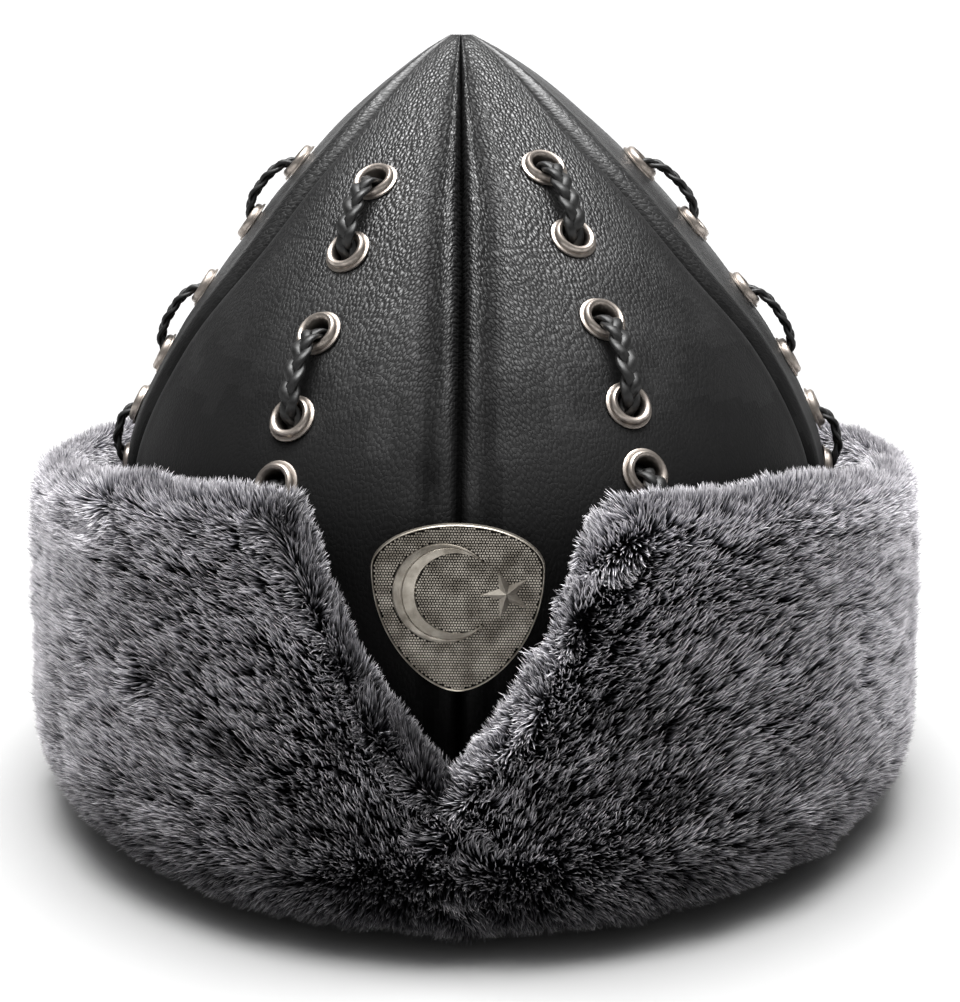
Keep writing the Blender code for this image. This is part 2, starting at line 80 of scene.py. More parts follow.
# The crown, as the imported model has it: its head oval, heights, and the table of its sections
HEAD_HALF_WIDTH = 0.0880
DEPTH_GAIN = 0.16
CROWN_BOTTOM = 0.0100
CROWN_TOP = 0.1870
LEATHER = 0.0018
CrownSection = namedtuple("CrownSection", "height half_width side_seam back_seam lean")
CROWN_SECTIONS = tuple(CrownSection(*row) for row in (
    (CROWN_BOTTOM, 0.0880, 66.0, 120.0, 0.0),
    (0.0700, 0.0890, 66.0, 120.0, 0.0),
    (0.0920, 0.0865, 66.0, 120.0, 0.0),
    (0.1150, 0.0745, 65.0, 120.0, -0.0003),
    (0.1350, 0.0600, 58.0, 121.0, -0.0008),
    (0.1520, 0.0459, 53.0, 122.0, -0.0015),
    (0.1660, 0.0318, 48.0, 122.0, -0.0023),
    (0.1760, 0.0198, 48.0, 121.0, -0.0029),
    (0.1830, 0.0098, 52.0, 120.0, -0.0034),
    (CROWN_TOP, 0.0028, 56.0, 120.0, -0.0037),
))

# Gores: the seams are numbered from the front, 0 front, 1 side, 2 back side, 3 centre back. The lace angle
# is where the row of eyelets runs, and the lift is how much higher that row sits than the heights below
Gore = namedtuple("Gore", "name first_seam last_seam first_edge last_edge lace_angle lace_lift")
GORES = (
    Gore("front_left", -1, 0, "over", "folded", -27.5, -0.0015),
    Gore("front_right", 0, 1, "folded", "over", 27.5, 0.0015),
    Gore("side_right", 1, 2, "under", "under", 86.0, 0.0),
    Gore("back_right", 2, 3, "over", "folded", 150.0, 0.0),
    Gore("back_left", -3, -2, "folded", "over", -150.0, 0.0),
    Gore("side_left", -2, -1, "under", "under", -86.0, 0.0),
)

# The relief beside a seam as smooth swells: their distance from the seam, width and height
Swell = namedtuple("Swell", "distance width height")
SEAM_RELIEF = {
    "folded": (Swell(0.0, 1.2 * MM, -3.6 * MM), Swell(3.3 * MM, 1.6 * MM, 0.62 * MM),
               Swell(6.9 * MM, 2.0 * MM, -0.95 * MM)),
    "over": (Swell(0.0, 0.6 * MM, -1.0 * MM), Swell(2.6 * MM, 2.2 * MM, 0.20 * MM)),
    "under": (Swell(0.0, 3.0 * MM, -3.4 * MM), Swell(7.6 * MM, 2.8 * MM, 0.80 * MM)),
}
# Painted shade beside a seam: distance, width and share of light lost
SEAM_PAINTED_SHADE = {
    "folded": (Swell(0.0, 1.2 * MM, 1.0), Swell(6.9 * MM, 1.8 * MM, 0.40)),
    "over": (),
    "under": (Swell(0.0, 3.0 * MM, 1.0),),
}
# Low on the crown a folded seam lies flatter and is puckered: share of its relief, heights between which
# it grows, and the puckers' depth, width, reach from the seam and how much longer than wide they are
SEAM_LOW = 0.34
SEAM_GROWS = (0.092, 0.140)
PUCKER = 0.34 * MM
PUCKER_WIDTH = 0.0045
PUCKER_REACH = 13 * MM
PUCKER_STRETCH = 2.6
# Painted shade low on the crown: the share of light painted on the leather there, and the heights between
# which it grows to the full
LOW_PAINTED_LIGHT = 0.46
PAINTED_SHADE_FADES = (0.092, 0.162)
# An edge that goes under its neighbour: how far past the seam, and how much lower its end lies
TUCK = 3.0 * MM
TUCK_DROP = 0.9 * MM
# The gore's width above which its relief is whole, and the size and height of the leather's waves
RELIEF_FULL_WIDTH = 0.030
LEATHER_WAVE_SIZE = 0.018
LEATHER_WAVE = 0.12 * MM
# A gore's grid: columns at distances from a seam in millimetres (less on a gore under a width), columns
# between these, and rows
EDGE_COLUMNS = (0.0, 0.3, 0.7, 1.2, 1.8, 2.5, 3.3, 4.3, 5.4, 6.6, 8.0, 9.6)
COLUMNS_FULL_WIDTH = 0.045
MIDDLE_COLUMNS = 13
GORE_ROWS = 104
# Rows that close the tip: shares of its width, and how far they sink. Then the angle of a sharp edge
PINCH = (0.7, 0.35, 0.1)
PINCH_DROP = 0.5 * MM
LEATHER_SHARP = 55.0

# Grain of the leather: how strong it is away from the seams, how far it reaches from the folded seams,
# the share of it low on the crown and the heights between which it grows, how much longer than wide its
# pebbles are, how many come in a millimetre, and how far they stand out
GRAIN_PLAIN = 0.44
GRAIN_REACH = 26 * MM
GRAIN_LOW = 0.30
GRAIN_GROWS = (0.095, 0.145)
GRAIN_STRETCH = 1.7
GRAIN_CELLS = 1.25
GRAIN_BUMP = 0.195 * MM
# How much weaker the grain is on a lapped edge, and how far in
LAPPED_SMOOTH = 0.60
LAPPED_REACH = 7 * MM
# Scales of the pebbles' warp and of the fine grain, a dome's and a crease's width as shares of a pebble, and
# how far fine grain raises the relief and a crease sinks it
WARP_SCALE = 0.5
FINE_SCALE = 2.6
DOME_WIDTH = 0.75
CREASE_WIDTH = 0.16
FINE_SHARE = 0.30
CREASE_SHARE = -0.35
# Colours of leather and of its creases, painted darker as shade, the leather's roughness over broad patches,
# and what painted shade and creases add
LEATHER_BLACK = (0.0050, 0.0049, 0.0051)
CREASE_PAINTED_SHADE = (0.0008, 0.0008, 0.0009)
BROAD_SCALE = 0.10
LEATHER_ROUGHNESS = (0.31, 0.38)
SHADE_ROUGHNESS = 0.5
CREASE_ROUGHNESS = 0.30
# Glosses of the lit and shaded copies of the leather, from the open one to the one deep in the seams' painted
# shade, the shares of painted light below which a face takes the next, and how much and in patches of what
# size these stray, so that no border is a line
PAINTED_SHADE_GLOSSES = (0.66, 0.58, 0.50, 0.42, 0.34, 0.26, 0.20, 0.14, 0.09, 0.04)
PAINTED_LIGHT_STEPS = (0.94, 0.86, 0.78, 0.70, 0.62, 0.54, 0.40, 0.28, 0.16)
GLOSS_STRAY = 0.035
GLOSS_PATCH = 0.006

# Eyelets: heights down each gore, the turned section of the two-step ring in millimetres, and its sides
EYELET_HEIGHTS = (0.1560, 0.1415, 0.1252, 0.1085, 0.0955, 0.0805)
EYELET_SECTION = (
    (5.52, 0.05), (5.50, 0.42), (5.22, 0.56), (4.86, 0.62), (4.83, 1.20), (4.62, 1.68), (4.18, 1.96),
    (3.66, 1.88), (3.28, 1.50), (3.12, 0.90), (3.10, -2.60), (3.45, -2.75), (3.47, -0.10),
)
EYELET_SIDES = 28
# How far an eyelet may lean in degrees, how deep it sits, the dimple round it, and the hole cut for it
EYELET_TILT = 3.0
EYELET_SUNK = 0.15 * MM
EYELET_DIMPLE = 0.45 * MM
EYELET_DIMPLE_REACH = 7.2 * MM
LEATHER_HOLE = 0.0039
HOLE_DEPTH = 0.012
HOLE_SIDES = 20

# Laces: three flat strands plaited round a path that runs outside and inside the leather by turns. A run
# has its side, its rise off the leather, and its arch above that at two shares of the way between eyelets
LaceRun = namedtuple("LaceRun", "side rise arch")
LACE_RUNS = (LaceRun(1.0, 0.0030, 0.0010), LaceRun(-1.0, 0.0042, 0.0022))
LACE_ARCH_SHARES = (0.33, 0.67)
# Where the path bends at an eyelet: distances from its middle and shares of the rise, then its loose end
LACE_BENDS = ((0.0006, 0.3), (0.0027, 0.95))
LACE_TAIL = 0.0065
# The braid: height on the crown that its width is lined up with, length of a turn, and sway sideways and in
# depth. A strand's corners are rounder with a higher power
BRAID_LEVEL = 0.12
BRAID_PITCH = 0.0156
BRAID_SWAY = 0.00136
BRAID_WEAVE = 0.00056
STRAND_HALF_WIDTH = 0.00132
STRAND_HALF_THICK = 0.00064
STRAND_POWER = 0.7
STRAND_SIDES = 8
STRAND_STEP = 0.0007

# Cuff: its outer form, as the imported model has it. The outer side's distance from the head oval, how far it
# leans in, and the fold's width and height
CUFF_OUTER = 0.0266
CUFF_LEAN_IN = 0.0009
CUFF_FOLD_WIDTH = 0.0216
CUFF_FOLD_HEIGHT = 0.0250
# The inner side's distance from the crown where it is snug and where it stands off, with the heights of the
# top edge, and those on the inside, between which it goes from one to the other
CUFF_SNUG = 0.0017
CUFF_LOOSE = 0.0082
NOTCH_OPENS = (0.055, 0.075)
INSIDE_OPENS = (0.060, 0.074)
# The lip over the top edge: height of its round, place of its crest, and how far it goes down inside. Then
# the section's ends, under the fold and inside, and the least radius of a round
LIP_SHOULDER = 0.0100
LIP_CREST = 0.45
LIP_INSIDE_DROP = 0.0090
CUFF_UNDER = -0.0030
CUFF_LEDGE = 0.0096
LEAST_CORE = 0.0006
# The grid of the skin under the pile: columns round the hat, and steps along each part of the section
BACKING_ANGLES = 150
BACKING_STEPS = (2, 5, 6, 8, 2, 4)
# Heights of the top edge by the angle to either side, and in front, round the split, by the signed angle
RimPoint = namedtuple("RimPoint", "angle rim")
RIM = tuple(RimPoint(*row) for row in (
    (16.0, 0.0968), (41.0, 0.0978), (55.0, 0.0940), (75.0, 0.0885),
    (100.0, 0.0850), (140.0, 0.0790), (180.0, 0.0760),
))
NOTCH = tuple(RimPoint(*row) for row in (
    (-36.0, 0.0976), (-27.0, 0.0992), (-19.0, 0.0990), (-16.6, 0.0930), (-14.4, 0.0835), (-11.6, 0.0725),
    (-8.6, 0.0600), (-4.4, 0.0500), (-0.6, 0.0425), (4.6, 0.0540), (7.7, 0.0620), (10.0, 0.0710),
    (11.8, 0.0822), (13.8, 0.0915), (16.2, 0.0958), (19.5, 0.0990), (25.0, 0.0994), (32.0, 0.0976),
))

# Fur: how deep the pile is along the cuff's section (0 under the fold, 1 to 2 round it, 2 to 3 up the
# outside, 3 to 4 over the top edge, 4 to 5 down the inside), and how far its blades lean
PileRow = namedtuple("PileRow", "along depth lean")
PILE = tuple(PileRow(*row) for row in (
    (0.0, 0.0035, 0.0010),
    (1.0, 0.0055, 0.0014),
    (1.6, 0.0080, 0.0018),
    (2.2, 0.0090, 0.0025),
    (2.8, 0.0090, 0.0020),
    (3.3, 0.0085, 0.0014),
    (4.0, 0.0060, 0.0014),
    (5.0, 0.0045, 0.0012),
))
# The farthest place that is read on the pile's last part, and the patches of fur with the degrees of each
PILE_END = 4.999
FUR_PATCHES = ("front", "right", "back", "left")
QUARTER = 90.0
# Blades in a patch, and places tried for each: drawn by the shares of the section's parts, which end at the
# running sums, and kept more sparsely where thinned
BLADES = 62000
TRIES = 3
PART_SHARES = (0.05, 0.25, 0.42, 0.22, 0.06)
PART_ENDS = (0.0, 0.05, 0.30, 0.72, 0.94, 1.0)
THINNED = ((0.0, 0.9, 1.3, 3.8, 4.3), (0.3, 0.5, 1.0, 1.0, 0.6))
# A blade: width at its root and bend, where it bends, depth as a share of the pile's, and how far its tip
# sinks or rises, with the pile's own swells
BLADE_WIDTH = (0.00028, 0.00038)
BLADE_BEND = 0.72
BLADE_DEPTHS = (0.85, 1.05)
BLADE_RISES = (-1.0, 0.6)
BLADE_JITTER = 0.0009
PILE_SWELL = 0.5 * MM
PILE_SWELL_SIZE = 0.010
# Least height of the blades over what the hat stands on
FUR_CLEAR = 0.2 * MM
# How far along the cuff's section its parts reach, and the clumps that the blades' tips draw into: their
# size, the share of the way to their middle, and how far their borders sink
CUFF_RADIUS = 0.115
PILE_REACH = (0.0, 0.025, 0.060, 0.115, 0.145, 0.160)
Clump = namedtuple("Clump", "size pull sink")
TUFT = Clump(0.0014, 0.34, 0.0005)
LOCK = Clump(0.0056, 0.18, 0.0014)
# Numbers that scatter the clumps' middles over their cells
CELL_MIX = ((12.9898, 39.346), (78.233, 11.135))
CELL_GAIN = 43758.5453
# How the pile lies: sideways, more with the angle from the front, and up, straighter over the top edge, with
# the size and strength of its waves, and how far each blade strays
NAP_TURN = 38.0
NAP_SPREAD = 0.55
NAP_RISE = 1.60
NAP_EDGE = (2.6, 3.2)
NAP_EDGE_CALM = 0.8
NAP_WAVE_SIZE = 0.012
NAP_STRAY = 0.34
BLADE_STRAY = 0.00065
# How it lies on the left and right edge of the split, round the hat and up: where the edges begin along the
# section, where they end on both sides, and where one passes into the other, as angles
LEFT_NAP = (-0.6, -0.2)
RIGHT_NAP = (-1.0, 0.2)
SPLIT_ALONG = (2.75, 3.1)
SPLIT_LEFT = (-24.0, -19.0)
SPLIT_RIGHT = (22.0, 18.0)
SPLIT_MIDDLE = (1.0, -1.5)
# Beside the split the pile is tousled: how far from its edges, how strongly, and in what size of curls
SPLIT_HEIGHTS = ((0.0425, 0.0968), (0.0, 18.0))
SPLIT_REACH = (14 * MM, 4 * MM)
SPLIT_STRAY = 1.1
SPLIT_CURL = 0.005
FUR_STOPS = (
    (0.00, (0.004, 0.004, 0.005)),
    (0.56, (0.026, 0.026, 0.030)),
    (0.75, (0.280, 0.277, 0.305)),
    (0.92, (0.950, 0.925, 0.960)),
)
FUR_TONES = ((0.0, 0.04), (0.22, 0.35), (0.45, 0.92), (1.0, 1.0))
FUR_TONE_SPREAD = 0.24
# Patches of uneven tone: their strength, size and seed
TONE_PATCHES = ((0.12, 0.006, 6), (0.08, 0.025, 7))
# How much paler the blades are over the top edge, and where along the section that starts and ends
LIP_FROST = 0.09
LIP_FROST_STARTS = (2.75, 3.15)
LIP_FROST_ENDS = (4.0, 3.6)
# Painted light: how much paler they are round the sides, past the angles. Painted shade: how much darker they
# are on the split's left edge
SIDE_PAINTED_LIGHT = 0.39
SIDE_PAINTED_LIGHT_ANGLES = (18.0, 72.0)
SPLIT_PAINTED_SHADE = 0.60
# Painted shade: how much darker the frost is low on the cuff: heights and shares
PAINTED_SHADE_BY_HEIGHT = ((0.0, 0.055, 0.080), (0.26, 0.80, 1.0))
# The ends of tones and of places along a blade, kept inside the bake map
UV_ENDS = (0.02, 0.98)

# Places where the nap parts: angle, height, reach, and how far the blades are pushed away. They lose a share
# of their own lie there, and within the core the push grows no more
Whorl = namedtuple("Whorl", "angle height reach push")
WHORLS = (
    Whorl(-46.0, 0.0920, 0.0100, 0.0040),
    Whorl(-37.0, 0.0520, 0.0070, 0.0016),
    *(Whorl(-49.0, height, 0.0045, 0.0018) for height in (0.0440, 0.0520, 0.0600)),
    *(Whorl(52.0, height, 0.0045, 0.0018) for height in (0.0480, 0.0560, 0.0640)),
)
WHORL_PART = 0.75
WHORL_CORE = 0.5 * MM

# Badge: its height on the crown, how far off it, its pick-shaped outline from the middle, the height of its
# widest place, and its curves' pull along the sides and the ends, below and above
BADGE_HEIGHT = 0.0735
BADGE_LIFT = 0.0014
BADGE_HALF_WIDTH = 0.0180
BADGE_UP = 0.0168
BADGE_DOWN = 0.0190
BADGE_SHOULDER = 0.0074
BADGE_SIDE_PULL = (0.45, 0.75)
BADGE_END_PULL = (0.36, 0.55)
BADGE_ARC_STEPS = 28
# Height of its sunk ground, and its edge as insets and heights in millimetres
BADGE_GROUND = 0.0013
BADGE_EDGE = (
    (0.00, 0.00), (0.00, 1.35), (0.06, 1.62), (0.18, 1.78), (0.30, 1.78), (0.40, 1.62), (0.44, 1.30),
)
# The woven ground: its pads' pitch, height, and half widths below and above as shares of the pitch, the rows
# and columns each way, and how far inside the outline they end
WEAVE_PITCH = 0.00057
WEAVE_RISE = 0.00018
WEAVE_BASE = 0.39
WEAVE_TOP = 0.31
WEAVE_ROWS = 36
WEAVE_COLUMNS = 34
WEAVE_INSET = 0.65 * MM
# The crescent: a round with a smaller one, shifted, bitten out. Its section has shares of width and rise,
# the rise at its tips is a share of the full one, and its foot is sunk
CRESCENT_CENTRE = (-0.0030, 0.0022)
CRESCENT_RADIUS = 0.0107
CRESCENT_BITE = 0.0085
CRESCENT_SHIFT = 0.0028
CRESCENT_STEPS = 72
CRESCENT_SECTION = (
    (0.0, 0.0), (0.05, 0.62), (0.12, 0.76), (0.38, 0.92), (0.42, 0.80), (0.46, 0.97), (0.54, 0.90),
    (0.80, 0.72), (0.94, 0.60), (1.0, 0.0),
)
CRESCENT_TIP = 0.35
EMBLEM_RISE = 0.0010
EMBLEM_SUNK = 0.05 * MM
# The star: its edge's share of the rise at tips and waists, and its top's widths at the edge and the middle
STAR_CENTRE = (0.0101, 0.0022)
STAR_RADIUS = 0.0054
STAR_WAIST = 0.0020
STAR_RISE = 0.0010
STAR_TURN = 2.0
STAR_TIPS = 5
STAR_EDGE = (0.50, 0.15)
STAR_WIDTHS = (0.98, 0.02)
# How much rougher the silver is where it is darkened
TARNISH_DULL = 0.12
# The pin's turned section, in millimetres of radius and height, and its sides
PIN_SECTION = (
    (0.0, 1.1), (1.0, 1.1), (1.0, -4.6), (4.7, -4.6), (5.0, -4.9), (5.0, -5.5), (4.7, -5.8), (0.0, -5.8),
)
PIN_SIDES = 24


def unit(vectors):
    return vectors / np.linalg.norm(vectors, axis=-1, keepdims=True)


def fade(distance, reach):
    """1 at no distance, and smoothly less on both sides of it."""
    return np.exp(-((distance / reach) ** 2))


def from_front(angle):
    """The same angle, counted from -180 to 180 degrees."""
    return (angle + 180.0) % 360.0 - 180.0


def column(table, name):
    return [getattr(row, name) for row in table]


def run_along(points):
    """How far it is along a line of points to each of them."""
    return np.concatenate(([0.0], np.cumsum(np.linalg.norm(np.diff(points, axis=0), axis=-1))))


def smooth_table(value, xs, ys):
    """A smooth curve through a table's points, read at one value or at many."""
    xs = np.asarray(xs, float)
    ys = np.asarray(ys, float)
    slopes = np.diff(ys) / np.diff(xs)
    inner = (ys[2:] - ys[:-2]) / (xs[2:] - xs[:-2])
    slopes = np.concatenate((slopes[:1], inner, slopes[-1:]))
    at = np.clip(np.searchsorted(xs, value, side="left") - 1, 0, len(xs) - 2)
    span = xs[at + 1] - xs[at]
    t = (value - xs[at]) / span
    return (
        (1 + 2 * t) * (1 - t) ** 2 * ys[at]
        + t * t * (3 - 2 * t) * ys[at + 1]
        + t * (1 - t) ** 2 * span * slopes[at]
        + t * t * (t - 1) * span * slopes[at + 1]
    )


def ease(low, high, value):
    t = np.clip((value - low) / (high - low), 0.0, 1.0)
    return t * t * (3 - 2 * t)


def crown_value(height, name):
    return smooth_table(height, column(CROWN_SECTIONS, "height"), column(CROWN_SECTIONS, name))


def crown_base(angle, height):
    """Points on the crown without its seams and folds."""
    angle, height = np.broadcast_arrays(np.asarray(angle, float), np.asarray(height, float))
    half_width = crown_value(height, "half_width")
    half_depth = half_width * (1 + DEPTH_GAIN * half_width / HEAD_HALF_WIDTH)
    turn = np.radians(angle)
    x = half_width * np.sin(turn) + crown_value(height, "lean")
    return np.stack((x, -half_depth * np.cos(turn), height), axis=-1)


def crown_axes(angle, height):
    """Directions on the crown at points: round the hat, up the crown and straight out of it."""
    turn = 0.5
    step = 0.5 * MM
    across = crown_base(np.asarray(angle) + turn, height) - crown_base(np.asarray(angle) - turn, height)
    up = crown_base(angle, np.asarray(height) + step) - crown_base(angle, np.asarray(height) - step)
    out = unit(np.cross(across, up))
    across = unit(np.cross(up, out))
    return across, np.cross(out, across), out


def seam_angle(seam, height):
    side = {0: 0.0 * height, 1: crown_value(height, "side_seam"), 2: crown_value(height, "back_seam")}
    angle = side.get(abs(seam), 180.0 + 0.0 * height)
    return math.copysign(1.0, seam) * angle


def ripple(points, size, seed):
    """A smooth random value of about -1 to 1 at each point, in swells of about the size given."""
    rng = np.random.default_rng(seed)
    total = np.zeros(points.shape[:-1])
    for _ in range(RIPPLE_WAVES):
        direction = unit(rng.normal(size=3)) * math.tau / (size * rng.uniform(*RIPPLE_STRETCH))
        total += np.sin(points @ direction + rng.uniform(0, math.tau))
    return total / math.sqrt(RIPPLE_WAVES)


def ripple_way(points, size, seed):
    """Two such values at each point, as a way to go."""
    return np.stack((ripple(points, size, seed), ripple(points, size, seed + 1)), axis=-1)


# Mesh building: a shape is its points, blocks of faces, a UV for each face corner and a look for each block
Shape = namedtuple("Shape", "points faces uvs looks")


def grid_shape(points, wrap_rows=False, wrap_columns=False):
    """Quads over a grid of points, with UVs over the whole grid. They face along row x column."""
    rows, columns = points.shape[:2]
    row_spans = rows if wrap_rows else rows - 1
    column_spans = columns if wrap_columns else columns - 1
    i, j = np.meshgrid(np.arange(row_spans), np.arange(column_spans), indexing="ij")
    corner_i = np.stack((i, i + 1, i + 1, i), axis=-1).reshape(-1, 4)
    corner_j = np.stack((j, j, j + 1, j + 1), axis=-1).reshape(-1, 4)
    quads = (corner_i % rows) * columns + corner_j % columns
    uvs = np.stack((corner_i / row_spans, corner_j / column_spans), axis=-1)
    return Shape(points.reshape(-1, 3), [quads], [uvs], [0])


def add_cap(shape, corners, look=0):
    """One more face, or block of faces, over points that the shape already has."""
    corners = np.atleast_2d(corners)
    turn = np.linspace(0, math.tau, corners.shape[1], endpoint=False)
    disc = 0.5 + 0.5 * np.stack((np.cos(turn), np.sin(turn)), axis=-1)
    shape.faces.append(corners)
    shape.uvs.append(np.broadcast_to(disc, corners.shape + (2,)))
    shape.looks.append(look)


def joined(shapes):
    faces = []
    start = 0
    for shape in shapes:
        faces += [block + start for block in shape.faces]
        start += len(shape.points)
    return Shape(
        np.concatenate([shape.points for shape in shapes]),
        faces,
        [uv for shape in shapes for uv in shape.uvs],
        [look for shape in shapes for look in shape.looks],
    )


def add_uv(mesh, name, corner_uvs):
    layer = mesh.uv_layers.new(name=name)
    layer.data.foreach_set("uv", np.ascontiguousarray(corner_uvs, np.float32).ravel())


def add_object(name, data):
    made = bpy.data.objects.new(name, data)
    bpy.context.scene.collection.objects.link(made)
    return made


def add_piece(name, shape, materials, slot, *nodes, sharp=180.0):
    """A piece of the hat that rides on its body and takes the place of the plain nodes named."""
    mesh = bpy.data.meshes.new(name)
    faces = [face for block in shape.faces for face in block.tolist()]
    mesh.from_pydata(shape.points.tolist(), [], faces)
    add_uv(mesh, BAKE_UV, np.concatenate([uv.reshape(-1, 2) for uv in shape.uvs]))
    looks = np.concatenate([np.full(len(block), look) for block, look in zip(shape.faces, shape.looks)])
    for material in materials:
        mesh.materials.append(material)
    mesh.polygons.foreach_set("material_index", looks.astype(np.int32))
    mesh.shade_smooth()
    if sharp < 180.0:
        mesh.set_sharp_from_angle(angle=math.radians(sharp))
    piece = add_object(name, mesh)
    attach(piece, "root")
    if nodes:
        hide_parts(*nodes)
    return piece


def add_node(tree, kind, inputs=None, **settings):
    """A shader node, with each input linked to a socket or set to a value."""
    made = tree.nodes.new(kind)
    for key, value in settings.items():
        setattr(made, key, value)
    for key, value in (inputs or {}).items():
        if isinstance(value, bpy.types.NodeSocket):
            tree.links.new(value, made.inputs[key])
        else:
            made.inputs[key].default_value = value
    return made


def add_math(tree, operation, *values):
    return add_node(tree, "ShaderNodeMath", dict(enumerate(values)), operation=operation).outputs[0]


def add_noise(tree, place, scale, detail=3.0):
    inputs = {"Vector": place, "Scale": scale, "Detail": detail}
    return add_node(tree, "ShaderNodeTexNoise", inputs).outputs[0]


def add_range(tree, value, low, high, to_low, to_high):
    return add_node(
        tree,
        "ShaderNodeMapRange",
        {"Value": value, "From Min": low, "From Max": high, "To Min": to_low, "To Max": to_high},
        interpolation_type="SMOOTHSTEP",
    ).outputs[0]


def add_ramp(tree, factor, *stops):
    """A colour ramp with stops of a position and a grey or a colour."""
    ramp = add_node(tree, "ShaderNodeValToRGB", {"Fac": factor})
    points = ramp.color_ramp.elements
    while len(points) < len(stops):
        points.new(0.5)
    for point, (position, colour) in zip(points, stops):
        point.position = position
        point.color = (*colour, 1.0) if isinstance(colour, tuple) else (colour, colour, colour, 1.0)
    return ramp.outputs["Color"]


def add_bump(tree, shader, height, distance):
    bump = add_node(tree, "ShaderNodeBump", {"Height": height, "Distance": distance})
    tree.links.new(bump.outputs[0], shader.inputs["Normal"])


def new_material(name, **values):
    """A Principled material, with plain values on its own sockets."""
    material = bpy.data.materials.new(name)
    material.use_nodes = True
    tree = material.node_tree
    shader = tree.nodes["Principled BSDF"]
    for key, value in values.items():
        if isinstance(value, tuple):
            value = (*value, 1.0)
        shader.inputs[key.replace("_", " ")].default_value = value
    return material, tree, shader


def leather_material(name, gloss):
    """Black pebbled leather: creased domes, strongest by the seams, under a soft uneven sheen. Its colour
    goes to black where little light is painted, and its creases are painted darker as shade.
    """
    material, tree, shader = new_material(name, Specular_IOR_Level=gloss)
    place = add_node(tree, "ShaderNodeUVMap", uv_map=GRAIN_UV).outputs[0]
    relief_and_light = add_node(tree, "ShaderNodeUVMap", uv_map=GRAIN_AND_SHADE_UV).outputs[0]
    strength, light, _ = add_node(tree, "ShaderNodeSeparateXYZ", {0: relief_and_light}).outputs
    warps = {"Vector": place, "Scale": WARP_SCALE}
    warp = add_node(tree, "ShaderNodeTexNoise", warps).outputs["Color"]
    bent = add_node(
        tree, "ShaderNodeVectorMath", {0: warp, 1: (1.0, 1.0, 0.0), 2: place}, operation="MULTIPLY_ADD"
    ).outputs[0]
    cells = {"Vector": bent, "Scale": GRAIN_CELLS}
    domes = add_node(tree, "ShaderNodeTexVoronoi", cells, voronoi_dimensions="2D").outputs["Distance"]
    domes = add_range(tree, domes, 0.0, DOME_WIDTH, 1.0, 0.0)
    edges = add_node(
        tree, "ShaderNodeTexVoronoi", cells, feature="DISTANCE_TO_EDGE", voronoi_dimensions="2D"
    ).outputs["Distance"]
    crease = add_math(tree, "MULTIPLY", add_range(tree, edges, 0.0, CREASE_WIDTH, 1.0, 0.0), strength)
    relief = add_math(tree, "MULTIPLY", domes, strength)
    relief = add_math(tree, "MULTIPLY_ADD", add_noise(tree, place, FINE_SCALE), FINE_SHARE, relief)
    relief = add_math(tree, "MULTIPLY_ADD", crease, CREASE_SHARE, relief)
    add_bump(tree, shader, relief, GRAIN_BUMP)
    # Painted shade: the creases are coloured darker than the leather
    colour = add_ramp(tree, crease, (0.0, LEATHER_BLACK), (1.0, CREASE_PAINTED_SHADE))
    # Painted shade: the colour goes to black where the painted share of light is low
    black = (0.0, 0.0, 0.0, 1.0)
    shaded = add_node(tree, "ShaderNodeMix", {0: light, 6: black, 7: colour}, data_type="RGBA")
    tree.links.new(shaded.outputs[2], shader.inputs["Base Color"])
    rough = add_range(tree, add_noise(tree, place, BROAD_SCALE, 2.0), *NOISE_SPAN, *LEATHER_ROUGHNESS)
    rough = add_math(tree, "MULTIPLY_ADD", add_math(tree, "SUBTRACT", 1.0, light), SHADE_ROUGHNESS, rough)
    rough = add_math(tree, "MULTIPLY_ADD", crease, CREASE_ROUGHNESS, rough)
    tree.links.new(rough, shader.inputs["Roughness"])
    return material


def flecked_material(name, scale, tones, detail=3.0, rough=None, relief=0.0, relief_scale=None, **values):
    """A material whose tone and roughness follow a fine noise, and its relief the same one or another."""
    material, tree, shader = new_material(name, **values)
    place = add_node(tree, "ShaderNodeTexCoord").outputs["Object"]
    flecks = add_noise(tree, place, scale, detail)
    tree.links.new(add_ramp(tree, flecks, *tones), shader.inputs["Base Color"])
    if rough:
        tree.links.new(add_range(tree, flecks, *NOISE_SPAN, *rough), shader.inputs["Roughness"])
    if relief_scale:
        flecks = add_noise(tree, place, relief_scale)
    if relief:
        add_bump(tree, shader, flecks, relief)
    return material


def lining_material():
    """The dull back of the leather, inside the crown."""
    tones = ((0.3, 0.010), (0.7, 0.022))
    return flecked_material("leather_back", 900.0, tones, relief=0.15 * MM, Roughness=0.85)


def nickel_material():
    """Warm bright nickel with faint rub marks."""
    tones = ((0.30, (0.27, 0.238, 0.212)), (0.62, (0.48, 0.428, 0.385)))
    return flecked_material("nickel", 500.0, tones, detail=4.0, rough=(0.50, 0.36), Metallic=1.0)


def lace_material():
    """Glossy black leather strand, rubbed duller in streaks."""
    tones = ((0.3, 0.003), (0.75, 0.009))
    return flecked_material("lace_leather", 700.0, tones, rough=(0.40, 0.56), relief=0.08 * MM)


def fur_material():
    """A blade of fur: near black at its root, frosted at its tip, in a tone of its own with painted light and
    shade on it.
    """
    material, tree, shader = new_material("grey_fur", Roughness=0.60, Specular_IOR_Level=0.25)
    place = add_node(tree, "ShaderNodeUVMap", uv_map=BAKE_UV).outputs[0]
    parts = add_node(tree, "ShaderNodeSeparateXYZ", {0: place})
    frost = add_ramp(tree, parts.outputs[1], *FUR_STOPS)
    tone = add_ramp(tree, parts.outputs[0], *FUR_TONES)
    toned = {0: 1.0, 6: frost, 7: tone}
    colour = add_node(tree, "ShaderNodeMix", toned, data_type="RGBA", blend_type="MULTIPLY")
    tree.links.new(colour.outputs[2], shader.inputs["Base Color"])
    return material


